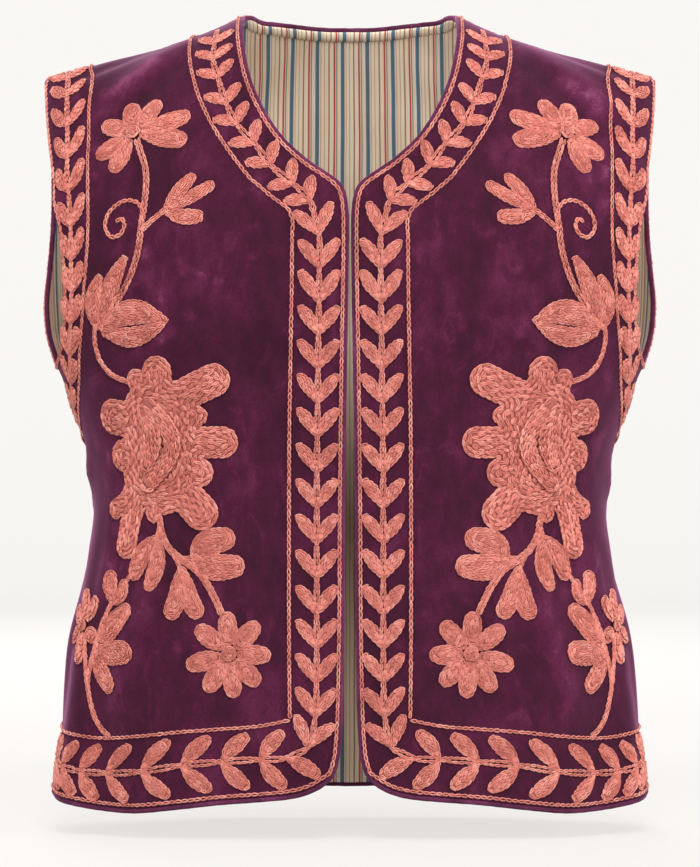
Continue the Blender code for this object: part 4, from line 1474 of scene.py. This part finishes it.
FLOWERS = [
    {"centre": (152.5, -56.5), "start": 4.3, "width": 14.2, "neck": 2.9,
     "tips": [(157.5, -30.5), (135.5, -34.5), (112.5, -51.5), (114, -70), (166.5, -84.5),
              (179.5, -71), (177, -44)]},
    {"centre": (82.5, -415), "start": 4.6, "width": 13.6, "neck": 2.8,
     "tips": [(84, -386.5), (62, -394), (53.5, -416), (61.5, -436), (79, -445), (98.5, -441), (112.5, -424),
              (105.5, -397)]},
    {"centre": (202.5, -399), "start": 3.5, "width": 12, "neck": 2.5,
     "tips": [(204.5, -373), (187.5, -378), (188.5, -409), (207, -426), (222, -410), (222.5, -387)]},
]
HEART_RISE = 1.8  # how much higher than a petal's rows those of a heart lie
CRESCENT_RISE = 2.9
KERNEL_RISE = 4.3
OWN_MIDDLE = 0.4  # how much deeper than its own radius a petal's middle may lie in the shape
LEAST_ROUND = 4.5  # a round shorter than this is left out
LEAST_GAP = 0.5  # a gap between rounds wider than this share of their step takes another row
SLIVER = 0.16  # a round whose two sides lie nearer than this share of the step is sewn as one row
FINE_GRID = 1.0
WAVER = 0.9  # how far the great flower's rows curl to either side
WAVER_LENGTH = 9.5
FLOWER_ROUNDNESS = 0.84
LEAST_CURLS = 3
PAD_DROP = 0.3  # how much lower the padding of a raised shape lies under its rows


def rims(bm):
    """The open rims of a mesh, each as its places in order."""
    left = {edge.index: edge for edge in bm.edges if edge.is_boundary}
    found = []
    while left:
        edge = left.pop(min(left))
        start, vert = edge.verts
        rim = [start.co[:2]]
        while vert is not start:
            rim.append(vert.co[:2])
            edge = next((other for other in vert.link_edges if other.index in left), None)
            if edge is None:
                break
            left.pop(edge.index)
            vert = edge.other_vert(vert)
        found.append(np.array(rim))
    return found


def middle_rows(petals, step):
    """Rows along the middle of the petals, wherever the rounds leave a gap there."""
    discs = np.vstack(petals)
    found = []
    for petal_discs in petals:
        radius = petal_discs[:, 2]
        depth = depth_in(petal_discs[:, :2], discs)
        past_round = (radius / step - 0.5) % 1
        bare = (depth < radius + OWN_MIDDLE) & ((past_round > LEAST_GAP) | (past_round < SLIVER))
        for run in np.split(np.arange(len(radius)), np.nonzero(np.diff(bare))[0] + 1):
            path = petal_discs[run, :2]
            if bare[run[0]] and len(run) > 1 and np.linalg.norm(path[-1] - path[0]) > LEAST_ROUND / 2:
                found.append((radius[run].mean(), even_points(path, FINE_STEP), False))
    return found


def rounds(petals, gap=ROW_GAP):
    """The rows that fill a shape: each one's depth in it, its places and whether it closes."""
    bm = shape_grid(np.vstack(petals), FINE_GRID)
    deepest = max(vert.co.z for vert in bm.verts)
    count = max(1, round(deepest / gap))
    step = deepest / count
    found = middle_rows(petals, step)
    for depth in (np.arange(count) + 0.5) * step:
        cut_away(bm, depth)
        bm.edges.index_update()
        for rim in rims(bm):
            length = np.linalg.norm(np.diff(rim, axis=0), axis=1).sum()
            if length > LEAST_ROUND:
                found.append((depth, even_points(rim, FINE_STEP, closed=True), True))
    bm.free()
    return found


def flower_petals(flower):
    """The petals of a flower, each one a shape of its own that starts beside the flower's heart."""
    centre = np.array(flower["centre"], float)
    tips = [np.array(tip, float) - centre for tip in flower["tips"]]
    starts = [tip / np.linalg.norm(tip) * flower["start"] for tip in tips]
    return [[(centre + start, centre + tip, flower["width"], 0, FLOWER_ROUNDNESS, flower["neck"])]
            for start, tip in zip(starts, tips)]


def wavered(path, seed):
    """The path with small curls to either side."""
    chance = np.random.default_rng(seed)
    run = np.cumsum(np.linalg.norm(np.diff(path, axis=0, append=path[:1]), axis=1))
    curls = max(LEAST_CURLS, round(run[-1] / WAVER_LENGTH))
    swing = WAVER * np.sin(2 * np.pi * (curls * run / run[-1] + chance.uniform()))
    return beside(path, swing[:, None])


def embroidered(shapes, rise, row, gap, curly=False, lengthwise=False):
    """The spots and paddings that fill each of the shapes with the given row, in rounds or, where a
    shape is one petal, from its base to its tip."""
    rows, pads = [], []
    for petals in shapes:
        drawn = [petal(**shape) for shape in rows_of(petals, PETAL_COLUMNS)]
        if lengthwise:
            found = [(depth, path, False) for depth, path in leaf_rows(drawn[0], gap)]
        else:
            found = rounds(drawn, gap)
        for depth, path, closed in found:
            if curly and closed and depth > gap:
                path = wavered(path, len(rows))
            rows.append(chain(path, row, dome(depth) - SINK + rise, closed))
        mesh, places = pad_shape(drawn)
        pads.append((mesh, places + (0, 0, rise - PAD_DROP * (rise > 0))))
    return rows, pads


stem_spots = []
for gap, points in STEMS:
    path = through(points)
    stem_spots += [chain(beside(path, side * gap), STEM_ROW) for side in (1, -1)]
    if gap > WIDE_STEM:
        stem_spots.append(chain(path, STEM_ROW, -MIDDLE_DROP))
tendril_spots = chain(through(TENDRIL), TENDRIL_ROW)
petal_shapes = [shape for flower in FLOWERS for shape in flower_petals(flower)]
layers = [
    embroidered(SHAPES + petal_shapes, 0, FILL, ROW_GAP),
    embroidered(HEARTS, HEART_RISE, FILL, ROW_GAP),
    embroidered([GREAT_FLOWER], 0, ROPE, ROPE_GAP, curly=True),
    embroidered([GREAT_CRESCENT], CRESCENT_RISE, THICK_ROPE, THICK_ROPE_GAP, lengthwise=True),
    embroidered([GREAT_KERNEL], KERNEL_RISE, THICK_ROPE, THICK_ROPE_GAP, lengthwise=True),
]
shape_spots, shape_pads = joined(layers)
sew_each("flowers", np.vstack([*stem_spots, tendril_spots, shape_spots]), None, seed=21)
pad_each("flower_padding", shape_pads, [], shaded_padding_yarn)


# --- Floor, light and camera --------------------------------------------------------------
# A round cove of plain white paper, so that the ground is the same from every side. The waistcoat
# hangs just above it, in soft light from large panels in front, on both sides and behind.

FLOOR_Z = -0.542
COVE_RADIUS = 5.2
COVE_CURVE = 0.9
COVE_HEIGHT = 3.0
CURVE_STEPS = 16
COVE_STEPS = 72


def paper_cove():
    """A round floor that curves up at its rim into a wall."""
    bm = bmesh.new()
    centre = bm.verts.new((0, 0, FLOOR_Z))
    edge = bm.verts.new((0, COVE_RADIUS - COVE_CURVE, FLOOR_Z))
    bm.edges.new((centre, edge))
    turn = bmesh.ops.spin(bm, geom=[edge], cent=(0, COVE_RADIUS - COVE_CURVE, FLOOR_Z + COVE_CURVE),
                          axis=(1, 0, 0), dvec=(0, 0, 0), angle=np.pi / 2, steps=CURVE_STEPS)
    last = [part for part in turn["geom_last"] if isinstance(part, bmesh.types.BMVert)]
    top = bmesh.ops.extrude_vert_indiv(bm, verts=last)["verts"]
    bmesh.ops.translate(bm, verts=top, vec=(0, 0, COVE_HEIGHT))
    bmesh.ops.spin(bm, geom=bm.verts[:] + bm.edges[:], cent=(0, 0, 0), axis=(0, 0, 1), dvec=(0, 0, 0),
                   angle=2 * np.pi, steps=COVE_STEPS, use_merge=True, use_duplicate=False)
    bmesh.ops.remove_doubles(bm, verts=bm.verts[:], dist=10 * SAME_PLACE)
    return bm


def white_paper():
    """Matt background paper, lit on its own so that it shows white. It shows only soft shadows, and
    throws less light on the waistcoat than the eye would guess from it."""
    made, tree, shader = finish("white_background_paper")
    seen = put(tree, "LightPath").outputs["Is Camera Ray"]
    place = put(tree, "TexCoord").outputs["Object"]
    away = put(tree, "VectorMath", {0: place}, operation="LENGTH").outputs["Value"]
    even = put(tree, "MapRange", {"Value": away, "From Min": 0.8, "From Max": COVE_RADIUS,
                                  "To Min": 0.725, "To Max": 0.84})
    glow = put(tree, "MapRange", {"Value": seen, "To Min": 0.26, "To Max": even})
    put(tree, shader, {"Base Color": shade("#7d7b79"), "Roughness": 1.0, "Specular IOR Level": 0.0,
                       "Emission Color": shade("#fdfbf8"), "Emission Strength": glow})
    return made


cove_mesh = mesh_from("paper_cove", paper_cove())
cove_mesh.shade_smooth()
cove_mesh.materials.append(white_paper())
into_scene("paper_cove", cove_mesh)

LIGHT_COLUMNS = ("name", "place", "size", "watts")
LIGHTS = [
    ("panel_left", (-2.3, -1.9, 0.3), 1.3, 36),
    ("panel_right", (2.6, -1.3, 0.1), 1.5, 53),
    ("panel_front", (0.1, -2.2, 1.7), 1.2, 56),
    ("panel_behind", (-0.5, 2.6, 1.5), 1.6, 55),
]
AIM = (0.0, 0.0, -0.27)
for light in rows_of(LIGHTS, LIGHT_COLUMNS):
    panel = bpy.data.lights.new(light["name"], "AREA")
    panel.shape = "SQUARE"
    panel.size = light["size"]
    panel.energy = light["watts"]
    holder = into_scene(light["name"], panel)
    holder.location = light["place"]
    toward = np.array(AIM) - light["place"]
    holder.rotation_euler = Vector(toward.tolist()).to_track_quat("-Z", "Y").to_euler()

room = bpy.data.worlds.new("studio")
room.use_nodes = True
put(room.node_tree, room.node_tree.nodes["Background"], {"Color": shade("#fbfaf8"), "Strength": 0.52})
bpy.context.scene.world = room
bpy.context.scene.view_settings.view_transform = "Standard"

CAMERA_DISTANCE = 3.1
CAMERA_HEIGHT = -0.266
FRAME_HEIGHT = 0.6069  # metres that the picture shows from top to bottom, at the figure's middle
SENSOR = 36.0
camera = bpy.data.cameras.new("studio_camera")
camera.sensor_fit = "VERTICAL"
camera.sensor_height = SENSOR
camera.lens = SENSOR * CAMERA_DISTANCE / FRAME_HEIGHT
stand = into_scene("studio_camera", camera)
stand.location = (0, -CAMERA_DISTANCE, CAMERA_HEIGHT)
stand.rotation_euler = (np.pi / 2, 0, 0)
bpy.context.scene.camera = stand
